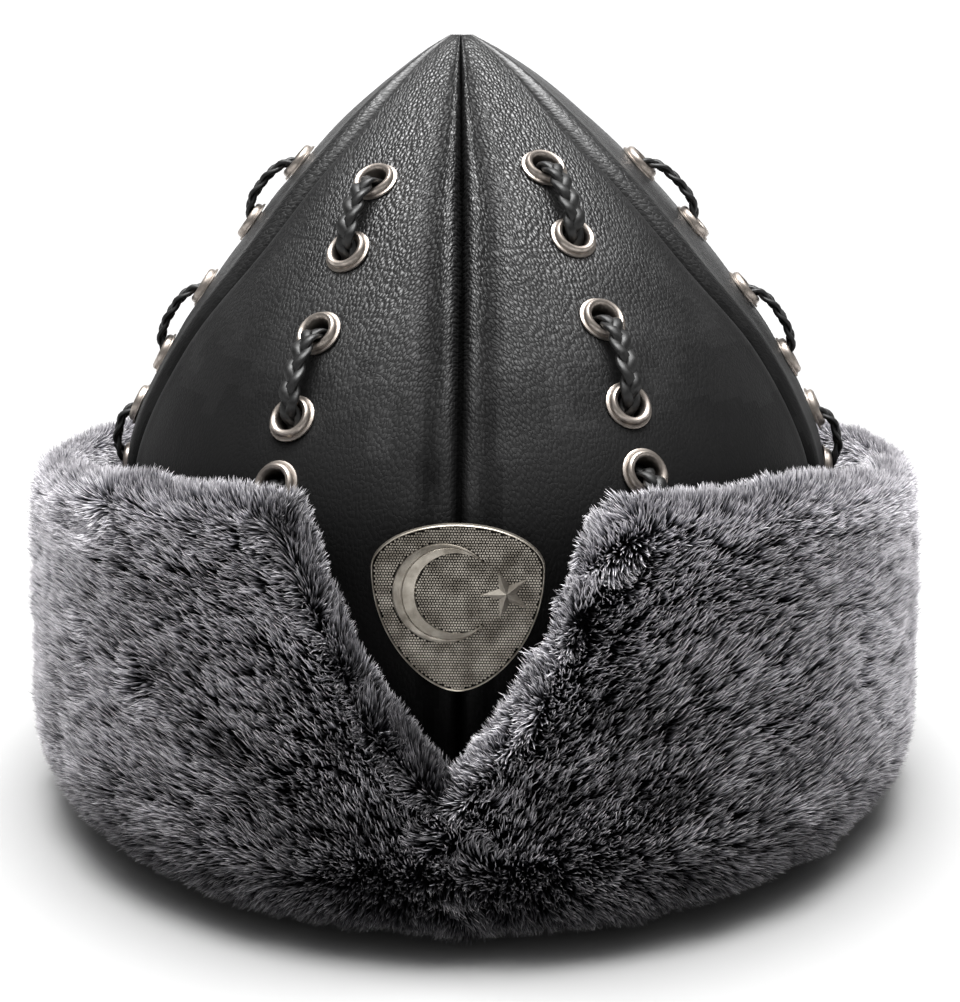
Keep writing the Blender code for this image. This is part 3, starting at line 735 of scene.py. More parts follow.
def backing_material():
    """The dark skin that the pile stands on."""
    tones = ((0.3, (0.005, 0.005, 0.006)), (0.7, (0.014, 0.014, 0.016)))
    return flecked_material(
        "fur_backing", 700.0, tones, relief=0.2 * MM, Roughness=0.95, Specular_IOR_Level=0.1
    )


def silver_material(name, dark, light, roughness):
    """Cast silver, darkened unevenly with age, and rougher where it is dark."""
    return flecked_material(
        name, 260.0, ((0.32, dark), (0.66, light)), detail=5.0, rough=(roughness + TARNISH_DULL, roughness),
        relief=0.03 * MM, relief_scale=1800.0, Metallic=1.0
    )


def seam_relief(distance, style):
    """How far the leather stands out beside a seam. Past it, an under edge sinks on below its neighbour."""
    rise = np.zeros_like(distance)
    inside = np.maximum(distance, 0.0)
    for swell in SEAM_RELIEF[style]:
        rise += swell.height * fade(inside - swell.distance, swell.width)
    return rise - TUCK_DROP * np.maximum(-distance, 0.0) / TUCK


def edge_distances(style, shrink):
    """The distances of a gore's first columns from its seam, with two more under a lapped neighbour."""
    start = (-TUCK, -0.5 * TUCK) if style == "under" else ()
    columns = np.array(start + tuple(MM * distance for distance in EDGE_COLUMNS))
    return columns[:, None] * shrink[None, :]


def gore_columns(gore, width, shrink):
    """Distances from the first seam, close together beside both seams: a row of them for each column."""
    first = edge_distances(gore.first_edge, shrink)
    last = width[None, :] - edge_distances(gore.last_edge, shrink)[::-1]
    share = np.linspace(0.0, 1.0, MIDDLE_COLUMNS + 2)[1:-1, None]
    return np.concatenate((first, first[-1] + share * (last[0] - first[-1]), last))


def grain_strength(gore, distance, width, height):
    """Pebbles stand out beside the folded seams and high on the crown, and the lapped edges are smooth."""
    strength = np.full_like(distance, GRAIN_PLAIN)
    edges = ((gore.first_edge, distance), (gore.last_edge, width - distance))
    for style, away in edges:
        if style == "folded":
            strength += (1.0 - GRAIN_PLAIN) * fade(away, GRAIN_REACH)
    for style, away in edges:
        if style != "folded":
            strength *= 1.0 - LAPPED_SMOOTH * fade(away, LAPPED_REACH)
    strength *= GRAIN_LOW + (1 - GRAIN_LOW) * ease(*GRAIN_GROWS, height)
    return strength


def seam_painted_light(distance, style):
    """How much of the light is painted as reaching the leather beside a seam: painted shade in and beside its
    groove.
    """
    light = np.ones_like(distance)
    for shade in SEAM_PAINTED_SHADE[style]:
        light *= 1.0 - shade.height * fade(np.maximum(distance, 0.0) - shade.distance, shade.width)
    return light


def eyelet_place(gore, height):
    """The middle of a gore's eyelet, and the directions on the crown there."""
    at = height + gore.lace_lift
    return crown_base(gore.lace_angle, at), crown_axes(gore.lace_angle, at)


def gore_sheet(gore):
    """The outside of a gore: its points, the way out at each, its grain, and its grain's strength with its
    painted light, by column and then row.
    """
    height = np.linspace(CROWN_BOTTOM, CROWN_TOP, GORE_ROWS)
    first = seam_angle(gore.first_seam, height)
    last = seam_angle(gore.last_seam, height)
    middle = 0.5 * (first + last)
    step = 0.5
    one_degree = crown_base(middle + step, height) - crown_base(middle - step, height)
    per_degree = np.linalg.norm(one_degree, axis=-1)
    width = per_degree * (last - first)
    shrink = np.minimum(1.0, width / COLUMNS_FULL_WIDTH)
    distance = gore_columns(gore, width, shrink)
    angle = first + distance / per_degree
    base = crown_base(angle, height)
    out = crown_axes(angle, height)[2]
    from_first = distance / shrink
    from_last = (width - distance) / shrink
    rise = np.zeros_like(distance)
    grown = ease(*SEAM_GROWS, height)
    for away, style in ((from_first, gore.first_edge), (from_last, gore.last_edge)):
        relief = seam_relief(away, style)
        if style == "folded":
            relief *= SEAM_LOW + (1 - SEAM_LOW) * grown
            puckers = ripple(base / (1, 1, PUCKER_STRETCH), PUCKER_WIDTH, seed=12)
            relief += PUCKER * (1 - grown) * puckers * fade(away, PUCKER_REACH)
        rise += relief
    rise *= np.minimum(1.0, width / RELIEF_FULL_WIDTH)
    rise += LEATHER_WAVE * ripple(base, LEATHER_WAVE_SIZE, seed=11)
    for place in EYELET_HEIGHTS:
        centre, _ = eyelet_place(gore, place)
        rise -= EYELET_DIMPLE * fade(np.linalg.norm(base - centre, axis=-1), EYELET_DIMPLE_REACH)
    climb = run_along(crown_base(middle, height))
    grain = np.stack(np.broadcast_arrays(distance - 0.5 * width, climb / GRAIN_STRETCH), axis=-1) / MM
    strength = grain_strength(gore, distance, width, np.broadcast_to(height, distance.shape))
    # Painted shade: darker in and beside the seams and low on the crown, carried into the leather's colour,
    # roughness and gloss
    light = seam_painted_light(from_first, gore.first_edge) * seam_painted_light(from_last, gore.last_edge)
    light *= LOW_PAINTED_LIGHT + (1 - LOW_PAINTED_LIGHT) * ease(*PAINTED_SHADE_FADES, height)
    return base + out * rise[..., None], out, grain, np.stack((strength, light), axis=-1)


def pinched(points):
    """Extra rows that draw the gore's tip together on the crown's axis."""
    axis = np.array((crown_value(CROWN_TOP, "lean"), 0.0, CROWN_TOP))
    rows = [axis + (points[:, -1] - axis) * share - (0, 0, PINCH_DROP * (1 - share)) for share in PINCH]
    return np.concatenate((points, np.stack(rows, axis=1)), axis=1)


def repeat_last(values, count):
    return np.concatenate((values,) + (values[:, -1:],) * count, axis=1)


def cut_holes(piece, gore):
    """Cut the round holes of a gore's eyelets, and keep the result as the piece's own mesh."""
    bm = bmesh.new()
    for height in EYELET_HEIGHTS:
        centre, (_, _, out) = eyelet_place(gore, height)
        turn = Vector(out).to_track_quat("Z", "Y").to_matrix().to_4x4()
        turn.translation = Vector(centre)
        bmesh.ops.create_cone(
            bm, cap_ends=True, segments=HOLE_SIDES, radius1=LEATHER_HOLE, radius2=LEATHER_HOLE,
            depth=HOLE_DEPTH, matrix=turn
        )
    mesh = bpy.data.meshes.new("hole_cutter")
    bm.to_mesh(mesh)
    bm.free()
    cutter = add_object("hole_cutter", mesh)
    holes = piece.modifiers.new("holes", "BOOLEAN")
    holes.object = cutter
    cut = bpy.data.meshes.new_from_object(piece.evaluated_get(bpy.context.evaluated_depsgraph_get()))
    piece.modifiers.clear()
    piece.data = cut
    bpy.data.objects.remove(cutter)
    cut.set_sharp_from_angle(angle=math.radians(LEATHER_SHARP))


def make_gore(gore, leathers, lining):
    """A closed sheet of leather with its own thickness, grain and eyelet holes. Its back and edges are
    lining, and each face of its outside takes the copy of the leather, glossy or dull, for its share of
    painted light."""
    outside, out, grain, strength = gore_sheet(gore)
    inside = pinched(outside - out * LEATHER)
    outside = pinched(outside)
    grain = repeat_last(grain, len(PINCH))
    strength = repeat_last(strength, len(PINCH))
    columns, rows = outside.shape[:2]
    shape = grid_shape(np.concatenate((outside, inside[::-1])), wrap_rows=True)
    quads = shape.faces[0]
    # Painted shade: each face takes a duller copy of the leather where less light is painted
    light = np.pad(strength[..., 1], ((0, columns), (0, 0))).ravel()[quads].mean(axis=-1)
    light += GLOSS_STRAY * ripple(shape.points[quads].mean(axis=1), GLOSS_PATCH, seed=14)
    dimmer = (light[:, None] < PAINTED_LIGHT_STEPS).sum(axis=-1)
    on_back = quads.min(axis=-1) >= columns * rows
    shape.looks[0] = np.where(on_back, len(leathers), dimmer)
    spans = np.arange(columns - 1)
    low = np.stack((2 * columns - 1 - spans, 2 * columns - 2 - spans, spans + 1, spans), axis=-1) * rows
    add_cap(shape, low, len(leathers))
    add_cap(shape, low[:, ::-1] + rows - 1, len(leathers))
    looks = (*leathers, lining)
    name = "leather_" + gore.name
    piece = add_piece(name, shape, looks, "leather", "gore_" + gore.name, sharp=LEATHER_SHARP)
    corners = np.zeros(len(piece.data.loops), np.int32)
    piece.data.loops.foreach_get("vertex_index", corners)
    for layer, values in ((GRAIN_UV, grain), (GRAIN_AND_SHADE_UV, strength)):
        both_sides = np.concatenate((values, values[::-1])).reshape(-1, 2)
        add_uv(piece.data, layer, both_sides[corners])
    cut_holes(piece, gore)


def turned(section, sides, centre, axes, closed=True):
    """A shape turned from a section of (radius, height) in millimetres, round the outward axis."""
    across, up, out = axes
    radius, height = np.array(section).T * MM
    turn = np.linspace(0, math.tau, sides, endpoint=False)[:, None, None]
    ring = np.cos(turn) * across + np.sin(turn) * up
    points = centre + radius[:, None] * ring + height[:, None] * out
    return grid_shape(points, wrap_rows=True, wrap_columns=closed)


def tilted(axes, rng, most):
    """The axes leaned by a small random angle, as a hand-set eyelet sits."""
    across, up, out = axes
    first = np.tan(np.radians(rng.uniform(-most, most)))
    second = np.tan(np.radians(rng.uniform(-most, most)))
    out = unit(out + first * across + second * up)
    across = unit(np.cross(up, out))
    return across, np.cross(out, across), out


def make_eyelets(gore, nickel):
    """The six rings of a gore, each leaned its own way: the gore's name is the seed."""
    rng = np.random.default_rng(sum(map(ord, gore.name)))
    rings = []
    for height in EYELET_HEIGHTS:
        centre, axes = eyelet_place(gore, height)
        axes = tilted(axes, rng, EYELET_TILT)
        rings.append(turned(EYELET_SECTION, EYELET_SIDES, centre - EYELET_SUNK * axes[2], axes))
    nodes = [f"eyelet_{gore.name}_{k + 1}" for k in range(len(EYELET_HEIGHTS))]
    add_piece("eyelets_" + gore.name, joined(rings), (nickel,), "nickel", *nodes, sharp=40.0)


def lace_place(gore, height, shift, rise):
    """A point by an eyelet: shifted up the crown from its centre, and risen off the leather."""
    centre, (_, up, out) = eyelet_place(gore, height)
    return centre + shift * up + rise * out


def lace_path(gore):
    """The middle of the braid: out over the leather and back inside, from eyelet to eyelet."""
    points = [lace_place(gore, EYELET_HEIGHTS[0], 0.0, -LACE_TAIL)]
    for number, (upper, lower) in enumerate(zip(EYELET_HEIGHTS, EYELET_HEIGHTS[1:])):
        side, rise, arch = LACE_RUNS[number % 2]
        points += [lace_place(gore, upper, -shift, share * side * rise) for shift, share in LACE_BENDS]
        for share in LACE_ARCH_SHARES:
            points.append(lace_place(gore, upper + (lower - upper) * share, 0.0, side * (rise + arch)))
        points += [lace_place(gore, lower, shift, share * side * rise) for shift, share in LACE_BENDS[::-1]]
    points.append(lace_place(gore, EYELET_HEIGHTS[-1], 0.0, -LACE_TAIL))
    return np.array(points)


def smooth_path(points, step):
    """A smooth curve through the points, with a point at each even step along it."""
    reach = run_along(points)
    fine = np.linspace(0.0, reach[-1], int(reach[-1] / step) * 4)
    curve = np.stack([smooth_table(fine, reach, points[:, axis]) for axis in range(3)], axis=-1)
    reach = run_along(curve)
    even = np.linspace(0.0, reach[-1], int(reach[-1] / step))
    return np.stack([np.interp(even, reach, curve[:, axis]) for axis in range(3)], axis=-1), even


def line_axes(middle, flat_way):
    """Two ways square to a line of points: the one nearest to the way given, and the one across it."""
    along = unit(np.gradient(middle, axis=0))
    wide = unit(flat_way - np.sum(flat_way * along, axis=-1, keepdims=True) * along)
    return wide, np.cross(wide, along)


def strand_tube(middle, flat_way):
    """A flat leather strand along a line, its width kept near the direction given."""
    wide, thick = line_axes(middle, flat_way)
    turn = np.linspace(0, math.tau, STRAND_SIDES, endpoint=False)[None, :, None]
    squared = np.sign(np.sin(turn)) * np.abs(np.sin(turn)) ** STRAND_POWER
    points = (
        middle[:, None]
        + STRAND_HALF_WIDTH * np.cos(turn) * wide[:, None]
        + STRAND_HALF_THICK * squared * thick[:, None]
    )
    shape = grid_shape(points, wrap_columns=True)
    add_cap(shape, np.arange(STRAND_SIDES))
    add_cap(shape, np.arange(STRAND_SIDES)[::-1] + len(shape.points) - STRAND_SIDES)
    return shape


def make_lace(gore, leather):
    """Three strands that pass over and under each other round the lace's path."""
    path, reach = smooth_path(lace_path(gore), STRAND_STEP)
    wide, thick = line_axes(path, crown_axes(gore.lace_angle, BRAID_LEVEL)[0])
    strands = []
    for number in range(3):
        phase = math.tau * (reach / BRAID_PITCH + number / 3)
        middle = path + BRAID_SWAY * np.sin(phase)[:, None] * wide
        middle = middle + BRAID_WEAVE * np.sin(2 * phase)[:, None] * thick
        strands.append(strand_tube(middle, wide))
    add_piece("braid_" + gore.name, joined(strands), (leather,), "lace", "lace_" + gore.name)


def rim_height(angle):
    """The height of the cuff's top edge, with the V-shaped split in front."""
    angle = from_front(angle)
    around = np.interp(np.abs(angle), column(RIM, "angle"), column(RIM, "rim"))
    front = np.interp(angle, column(NOTCH, "angle"), column(NOTCH, "rim"))
    return np.where((angle > NOTCH[0].angle) & (angle < NOTCH[-1].angle), front, around)


def crown_bulge(height):
    """How far the crown stands outside the head oval at a height, where it is deepest."""
    return (1 + 2 * DEPTH_GAIN) * (crown_value(height, "half_width") - HEAD_HALF_WIDTH)


def cuff_outer(height):
    """How far the cuff's outer side stands off the head oval at a height."""
    return CUFF_OUTER - CUFF_LEAN_IN * np.maximum(0.0, height - CUFF_FOLD_HEIGHT) / CUFF_FOLD_HEIGHT


def oval_point(angle, offset, height):
    """A point at a distance outwards from the head oval."""
    turn = np.radians(angle)
    half_depth = HEAD_HALF_WIDTH * (1 + DEPTH_GAIN)
    on_oval = np.stack((HEAD_HALF_WIDTH * np.sin(turn), -half_depth * np.cos(turn)), axis=-1)
    out = unit(np.stack((half_depth * np.sin(turn), -HEAD_HALF_WIDTH * np.cos(turn)), axis=-1))
    flat = on_oval + out * offset[..., None]
    return np.concatenate((flat, height[..., None]), axis=-1)


def cuff_form(angle, along, depth):
    """Points at a depth below the cuff's outer form. Along counts its parts, as in the pile's table."""
    angle, along, depth = np.broadcast_arrays(angle, along, depth)
    rim = rim_height(angle)
    shoulder = rim - LIP_SHOULDER
    loose = CUFF_SNUG + (CUFF_LOOSE - CUFF_SNUG) * ease(*NOTCH_OPENS, rim)
    inner = loose + np.minimum(0.0, crown_bulge(rim))
    outer = cuff_outer(rim)
    crest = inner + LIP_CREST * (outer - inner)
    part = np.clip(np.floor(along), 0, 5).astype(int)
    share = along - part
    fold_middle = CUFF_OUTER - CUFF_FOLD_WIDTH
    fold = np.radians(90.0 * share - 90.0)
    wall = CUFF_FOLD_HEIGHT + share * (shoulder - CUFF_FOLD_HEIGHT)
    lip = np.pi * share
    lip_reach = np.where(share < 0.5, outer - crest, crest - inner) - depth
    hem = shoulder - LIP_INSIDE_DROP
    inside = hem + share * (CUFF_LEDGE - hem)
    snug = CUFF_SNUG + np.maximum(0.0, crown_bulge(inside))
    offset = np.choose(part, (
        CUFF_UNDER + share * (fold_middle - CUFF_UNDER),
        fold_middle + (CUFF_FOLD_WIDTH - depth) * np.cos(fold),
        cuff_outer(wall) - depth,
        crest + np.maximum(lip_reach, LEAST_CORE) * np.cos(lip),
        inner + depth,
        snug + (inner - snug) * ease(*INSIDE_OPENS, inside),
    ))
    height = np.choose(part, (
        depth,
        CUFF_FOLD_HEIGHT + (CUFF_FOLD_HEIGHT - depth) * np.sin(fold),
        wall,
        shoulder + np.maximum(LIP_SHOULDER - depth, LEAST_CORE) * np.sin(lip),
        shoulder - share * LIP_INSIDE_DROP,
        inside,
    ))
    return oval_point(angle, offset, height)


def pile_value(along, name):
    return np.interp(along, column(PILE, "along"), column(PILE, name))


def make_backing(material):
    """The skin under the pile, all round the cuff and down its inside."""
    angle = np.linspace(-180.0, 180.0, BACKING_ANGLES, endpoint=False)[:, None]
    along = np.concatenate([k + np.arange(steps) / steps for k, steps in enumerate(BACKING_STEPS)])
    points = cuff_form(angle, along, pile_value(along, "depth"))
    shape = grid_shape(points, wrap_rows=True, wrap_columns=True)
    add_piece("fur_backing", shape, (material,), "fur", "fur_cuff")


def cuff_ways(angle, along, turn, step):
    """Ways on the cuff's form, round the hat and on over its section, and how far along the second goes."""
    around = cuff_form(angle + turn, along, 0.0) - cuff_form(angle - turn, along, 0.0)
    low = np.maximum(along - step, 0.0)
    high = np.minimum(along + step, PILE_END)
    return around, cuff_form(angle, high, 0.0) - cuff_form(angle, low, 0.0), (high - low)[:, None]


def scatter(middle, count, rng):
    """Even random places on the quarter of the cuff round an angle: angle and place along."""
    tries = TRIES * count
    angle = middle + rng.uniform(-0.5 * QUARTER, 0.5 * QUARTER, tries)
    along = np.interp(rng.random(tries), PART_ENDS, range(6))
    density = np.choose(along.astype(int), PART_SHARES)
    around, onward, span = cuff_ways(angle, along, turn=0.5, step=0.01)
    weight = np.linalg.norm(np.cross(around, onward / span), axis=-1) / density
    weight *= np.interp(along, *THINNED)
    reach = np.cumsum(weight)
    picked = np.searchsorted(reach, (np.arange(count) + 0.5) / count * reach[-1])
    return angle[picked], along[picked]


def surface_axes(angle, along):
    """Directions on the cuff's form: round the hat, up over its section, and outwards."""
    around, onward, _ = cuff_ways(angle, along, turn=0.4, step=0.02)
    up = unit(onward)
    out = unit(np.cross(around, up))
    return np.cross(up, out), up, out


def clump_middle(flat, size, seed):
    """The way from each place on a flat map to the middle of its clump."""
    cell = np.floor(flat / size)
    best = np.full(len(flat), np.inf)
    way = np.zeros_like(flat)
    for dx in (-1, 0, 1):
        for dy in (-1, 0, 1):
            near = cell + (dx, dy)
            mix = np.sin(near @ np.array(CELL_MIX) + seed) * CELL_GAIN
            centre = (near + mix - np.floor(mix)) * size
            away = np.linalg.norm(centre - flat, axis=-1)
            closer = away < best
            best[closer] = away[closer]
            way[closer] = (centre - flat)[closer]
    return way


def split_side(angle, along):
    """How far a place is on the left and on the right edge of the split, from 0 to 1."""
    turn = from_front(angle)
    edge = ease(*SPLIT_ALONG, along) * ease(*SPLIT_LEFT, turn) * ease(*SPLIT_RIGHT, turn)
    left = edge * ease(*SPLIT_MIDDLE, turn)
    return left, edge - left


def by_split(angle, place):
    """How near a place is to an edge of the split, from 0 to 1."""
    turn = np.abs(from_front(angle))
    away = np.radians(turn - np.interp(place[:, 2], *SPLIT_HEIGHTS)) * CUFF_RADIUS
    return ease(*SPLIT_REACH, away)


def nap(angle, along, place):
    """Which way the pile lies at each place, round the hat and up, and by how much."""
    turn = from_front(angle)
    sideways = NAP_SPREAD * np.tanh(turn / NAP_TURN) * np.cos(np.radians(turn / 2))
    edge = ease(*NAP_EDGE, along)
    lie = np.stack((sideways * (1 - NAP_EDGE_CALM * edge), NAP_RISE * (1 - edge) + edge), axis=-1)
    left, right = split_side(angle, along)
    lie = lie * (1 - left - right)[:, None] + np.outer(left, LEFT_NAP) + np.outer(right, RIGHT_NAP)
    lie += NAP_STRAY * ripple_way(place, NAP_WAVE_SIZE, seed=3)
    return lie + SPLIT_STRAY * by_split(angle, place)[:, None] * ripple_way(place, SPLIT_CURL, seed=8)


def sweep_whorls(swept, place, across, up):
    """Push the blades away from the places where the nap parts, and calm their own lie there."""
    for whorl in WHORLS:
        height = np.array(whorl.height)
        away = place - oval_point(np.array(whorl.angle), cuff_outer(height), height)
        distance = np.linalg.norm(away, axis=-1)
        near = fade(distance, whorl.reach)
        push = whorl.push * near / np.maximum(distance, WHORL_CORE)
        swept *= 1 - WHORL_PART * near[:, None]
        swept[:, 0] += push * np.sum(away * across, axis=-1)
        swept[:, 1] += push * np.sum(away * up, axis=-1)


def tone_and_painted_light(angle, along, place, rng):
    """How pale each blade is, from 0 to 1: its own tone, with painted light round the sides and painted shade
    low on the cuff and on the split's left edge.
    """
    tone = 0.5 + FUR_TONE_SPREAD * rng.normal(size=len(place))
    tone += sum(share * ripple(place, size, seed) for share, size, seed in TONE_PATCHES)
    tone += LIP_FROST * ease(*LIP_FROST_STARTS, along) * ease(*LIP_FROST_ENDS, along)
    # Painted light: the blades are paler round the sides and back
    tone += SIDE_PAINTED_LIGHT * ease(*SIDE_PAINTED_LIGHT_ANGLES, np.abs(from_front(angle)))
    # Painted shade: the blades are darker on the split's left edge and low on the cuff
    left, _ = split_side(angle, along)
    tone = tone * np.interp(place[:, 2], *PAINTED_SHADE_BY_HEIGHT) * (1 - SPLIT_PAINTED_SHADE * left)
    return np.clip(tone, *UV_ENDS)


def fur_patch(middle, count, seed):
    """Bent blades of fur on a quarter of the cuff, each one quad and a pointed triangle."""
    rng = np.random.default_rng(seed)
    angle, along = scatter(middle, count, rng)
    place = cuff_form(angle, along, 0.0)
    depth = pile_value(along, "depth") * rng.uniform(*BLADE_DEPTHS, count)
    lean = pile_value(along, "lean")
    across, up, out = surface_axes(angle, along)
    inward = place - cuff_form(angle, along, depth)
    root = place - 0.5 * inward - 0.5 * out * depth[:, None]
    swept = nap(angle, along, place) * lean[:, None]
    sweep_whorls(swept, place, across, up)
    flat = np.stack((np.radians(angle) * CUFF_RADIUS, np.interp(along, range(6), PILE_REACH)), axis=-1)
    rise = rng.uniform(*BLADE_RISES, count) * BLADE_JITTER
    rise += PILE_SWELL * ripple(place, PILE_SWELL_SIZE, seed=5)
    for number, clump in enumerate((TUFT, LOCK)):
        way = clump_middle(flat, clump.size, seed + number)
        swept += clump.pull * way
        rise -= clump.sink * np.linalg.norm(way, axis=-1) / clump.size
    swept += rng.normal(scale=BLADE_STRAY, size=(count, 2))
    sweep = swept[:, :1] * across + swept[:, 1:] * up
    tip = place + out * rise[:, None]
    bend = root + BLADE_BEND * (tip - root) + BLADE_BEND**2 * sweep
    tip = tip + sweep
    for end in (tip, bend):
        end[:, 2] = np.maximum(end[:, 2], FUR_CLEAR)
    side = unit(np.cross(tip - root, rng.normal(size=(count, 3))))
    low, high = 0.5 * np.array(BLADE_WIDTH)
    points = np.stack(
        (root - low * side, root + low * side, bend - high * side, bend + high * side, tip), axis=1
    )
    start = 5 * np.arange(count)[:, None]
    tone = tone_and_painted_light(angle, along, place, rng)[:, None]
    root_to_bend = np.array((UV_ENDS[0], UV_ENDS[0], BLADE_BEND, BLADE_BEND))
    bend_to_tip = np.array((BLADE_BEND, BLADE_BEND, UV_ENDS[1]))
    return Shape(
        points.reshape(-1, 3),
        [start + (0, 1, 3, 2), start + (2, 3, 4)],
        [np.stack(np.broadcast_arrays(tone, root_to_bend), axis=-1),
         np.stack(np.broadcast_arrays(tone, bend_to_tip), axis=-1)],
        [0, 0],
    )


def make_fur(material):
    for number, name in enumerate(FUR_PATCHES):
        patch = fur_patch(QUARTER * number, BLADES, seed=20 + number)
        add_piece("fur_" + name, patch, (material,), "fur")


def badge_outline(inset):
    """The pick shape, once round from the right against the clock, in four cubic arcs."""
    half = BADGE_HALF_WIDTH - inset
    up = BADGE_UP - inset
    down = BADGE_DOWN - inset
    side_low = -BADGE_SIDE_PULL[0] * down
    side_high = BADGE_SIDE_PULL[1] * up
    end_low = BADGE_END_PULL[0] * half
    end_high = BADGE_END_PULL[1] * half
    high = np.array(((half, BADGE_SHOULDER), (half, side_high), (end_high, up), (0, up)))
    low = np.array(((half, BADGE_SHOULDER), (half, side_low), (end_low, -down), (0, -down)))
    arcs = (high, high[::-1] * (-1, 1), low * (-1, 1), low[::-1])
    t = np.linspace(0.0, 1.0, BADGE_ARC_STEPS, endpoint=False)[:, None]
    weights = np.concatenate(((1 - t) ** 3, 3 * t * (1 - t) ** 2, 3 * t * t * (1 - t), t**3), axis=1)
    return np.concatenate([weights @ arc for arc in arcs])


def with_height(flat, height):
    return np.concatenate((flat, np.broadcast_to(height, flat.shape[:-1])[..., None]), axis=-1)


def badge_plate():
    """The plate with its thin raised rim, and its sunk ground as one darker face."""
    rings = [with_height(badge_outline(inset * MM), height * MM) for inset, height in BADGE_EDGE]
    shape = grid_shape(np.stack(rings, axis=1), wrap_rows=True)
    around = np.arange(len(rings[0])) * len(rings)
    add_cap(shape, around[::-1])
    add_cap(shape, around + len(rings) - 1, look=1)
    return shape


def crescent_reach():
    """The angles at which the crescent's two arcs meet, seen from the middle of each."""
    reach = (CRESCENT_RADIUS**2 - CRESCENT_BITE**2 + CRESCENT_SHIFT**2) / (2 * CRESCENT_SHIFT)
    return math.acos(reach / CRESCENT_RADIUS), math.acos((reach - CRESCENT_SHIFT) / CRESCENT_BITE)


def badge_crescent():
    """A ridged moon: its section from the round back to the bite, lower towards both tips."""
    outer_turn, inner_turn = crescent_reach()
    share = np.linspace(0.0, 1.0, CRESCENT_STEPS + 1)
    outer = outer_turn + (math.tau - 2 * outer_turn) * share
    inner = inner_turn + (math.tau - 2 * inner_turn) * share
    back = CRESCENT_RADIUS * np.stack((np.cos(outer), np.sin(outer)), axis=-1)
    bite = CRESCENT_BITE * np.stack((np.cos(inner), np.sin(inner)), axis=-1) + (CRESCENT_SHIFT, 0.0)
    width = np.linalg.norm(bite - back, axis=-1)
    lower = (CRESCENT_TIP + (1 - CRESCENT_TIP) * np.sqrt(width / width.max()))[:, None]
    across, rise = np.array(CRESCENT_SECTION).T
    flat = back[:, None] + across[None, :, None] * (bite - back)[:, None] + CRESCENT_CENTRE
    return grid_shape(with_height(flat, BADGE_GROUND - EMBLEM_SUNK + EMBLEM_RISE * rise * lower))


def badge_star():
    """Five ridged tips, with one of them towards the moon."""
    turn = np.pi + math.radians(STAR_TURN) + np.pi * np.arange(2 * STAR_TIPS) / STAR_TIPS
    at_waist = np.arange(2 * STAR_TIPS) % 2
    radius = np.where(at_waist, STAR_WAIST, STAR_RADIUS)
    flat = radius[:, None] * np.stack((np.cos(turn), np.sin(turn)), axis=-1)
    edge = np.where(at_waist, STAR_EDGE[1], STAR_EDGE[0]) * STAR_RISE
    rings = (
        with_height(flat + STAR_CENTRE, BADGE_GROUND - EMBLEM_SUNK),
        with_height(flat * STAR_WIDTHS[0] + STAR_CENTRE, BADGE_GROUND + edge),
        with_height(flat * STAR_WIDTHS[1] + STAR_CENTRE, BADGE_GROUND + STAR_RISE),
    )
    return grid_shape(np.stack(rings, axis=1), wrap_rows=True)


def badge_weave():
    """Rows of small pointed pads over the ground, each row shifted by half a pad."""
    rows = np.arange(-WEAVE_ROWS, WEAVE_ROWS)
    row, column_number = np.meshgrid(rows, np.arange(-WEAVE_COLUMNS, WEAVE_COLUMNS + 1), indexing="ij")
    x = ((column_number + 0.5 * (row % 2)) * WEAVE_PITCH).ravel()
    y = (row * WEAVE_PITCH).ravel()
    outline = badge_outline(WEAVE_INSET)
    turn = np.arctan2(outline[:, 1], outline[:, 0])
    order = np.argsort(turn)
    reach = np.interp(
        np.arctan2(y, x), turn[order], np.linalg.norm(outline, axis=-1)[order], period=math.tau
    )
    from_moon = np.hypot(x - CRESCENT_CENTRE[0], y - CRESCENT_CENTRE[1])
    from_bite = np.hypot(x - CRESCENT_CENTRE[0] - CRESCENT_SHIFT, y - CRESCENT_CENTRE[1])
    on_moon = (from_moon < CRESCENT_RADIUS) & (from_bite > CRESCENT_BITE)
    on_star = np.hypot(x - STAR_CENTRE[0], y - STAR_CENTRE[1]) < STAR_WAIST
    kept = (np.hypot(x, y) < reach) & ~on_moon & ~on_star
    x = x[kept]
    y = y[kept]
    corners = [
        with_height(np.stack((x + a * half, y + b * half), axis=-1), BADGE_GROUND + rise)
        for half, rise in ((WEAVE_BASE * WEAVE_PITCH, 0.0), (WEAVE_TOP * WEAVE_PITCH, WEAVE_RISE))
        for a, b in ((-1, -1), (1, -1), (1, 1), (-1, 1))
    ]
    points = np.stack(corners, axis=1).reshape(-1, 3)
    start = 8 * np.arange(len(x))[:, None]
    faces = [start + (k, (k + 1) % 4, (k + 1) % 4 + 4, k + 4) for k in range(4)]
    faces = np.concatenate(faces + [start + (4, 5, 6, 7)])
    uvs = np.broadcast_to(((0.0, 0.0), (1.0, 0.0), (1.0, 1.0), (0.0, 1.0)), faces.shape + (2,))
    return Shape(points, [faces], [uvs], [0])


def on_crown(shape, height, rise):
    """Move a shape from flat axes to the front of the crown."""
    across, up, out = crown_axes(0.0, height)
    place = crown_base(0.0, height) + rise * out
    turned_points = shape.points @ np.stack((across, up, out)) + place
    return shape._replace(points=turned_points)


def make_badge(silver, patina):
    parts = joined((badge_plate(), badge_crescent(), badge_star(), badge_weave()))
    parts = on_crown(parts, BADGE_HEIGHT, BADGE_LIFT)
    add_piece("badge_plate", parts, (silver, patina), "silver", "badge", sharp=32.0)
    centre = crown_base(0.0, BADGE_HEIGHT)
    pin = turned(PIN_SECTION, PIN_SIDES, centre, crown_axes(0.0, BADGE_HEIGHT), closed=False)
    add_piece("badge_rivet", pin, (silver,), "silver", "badge_pin", sharp=40.0)


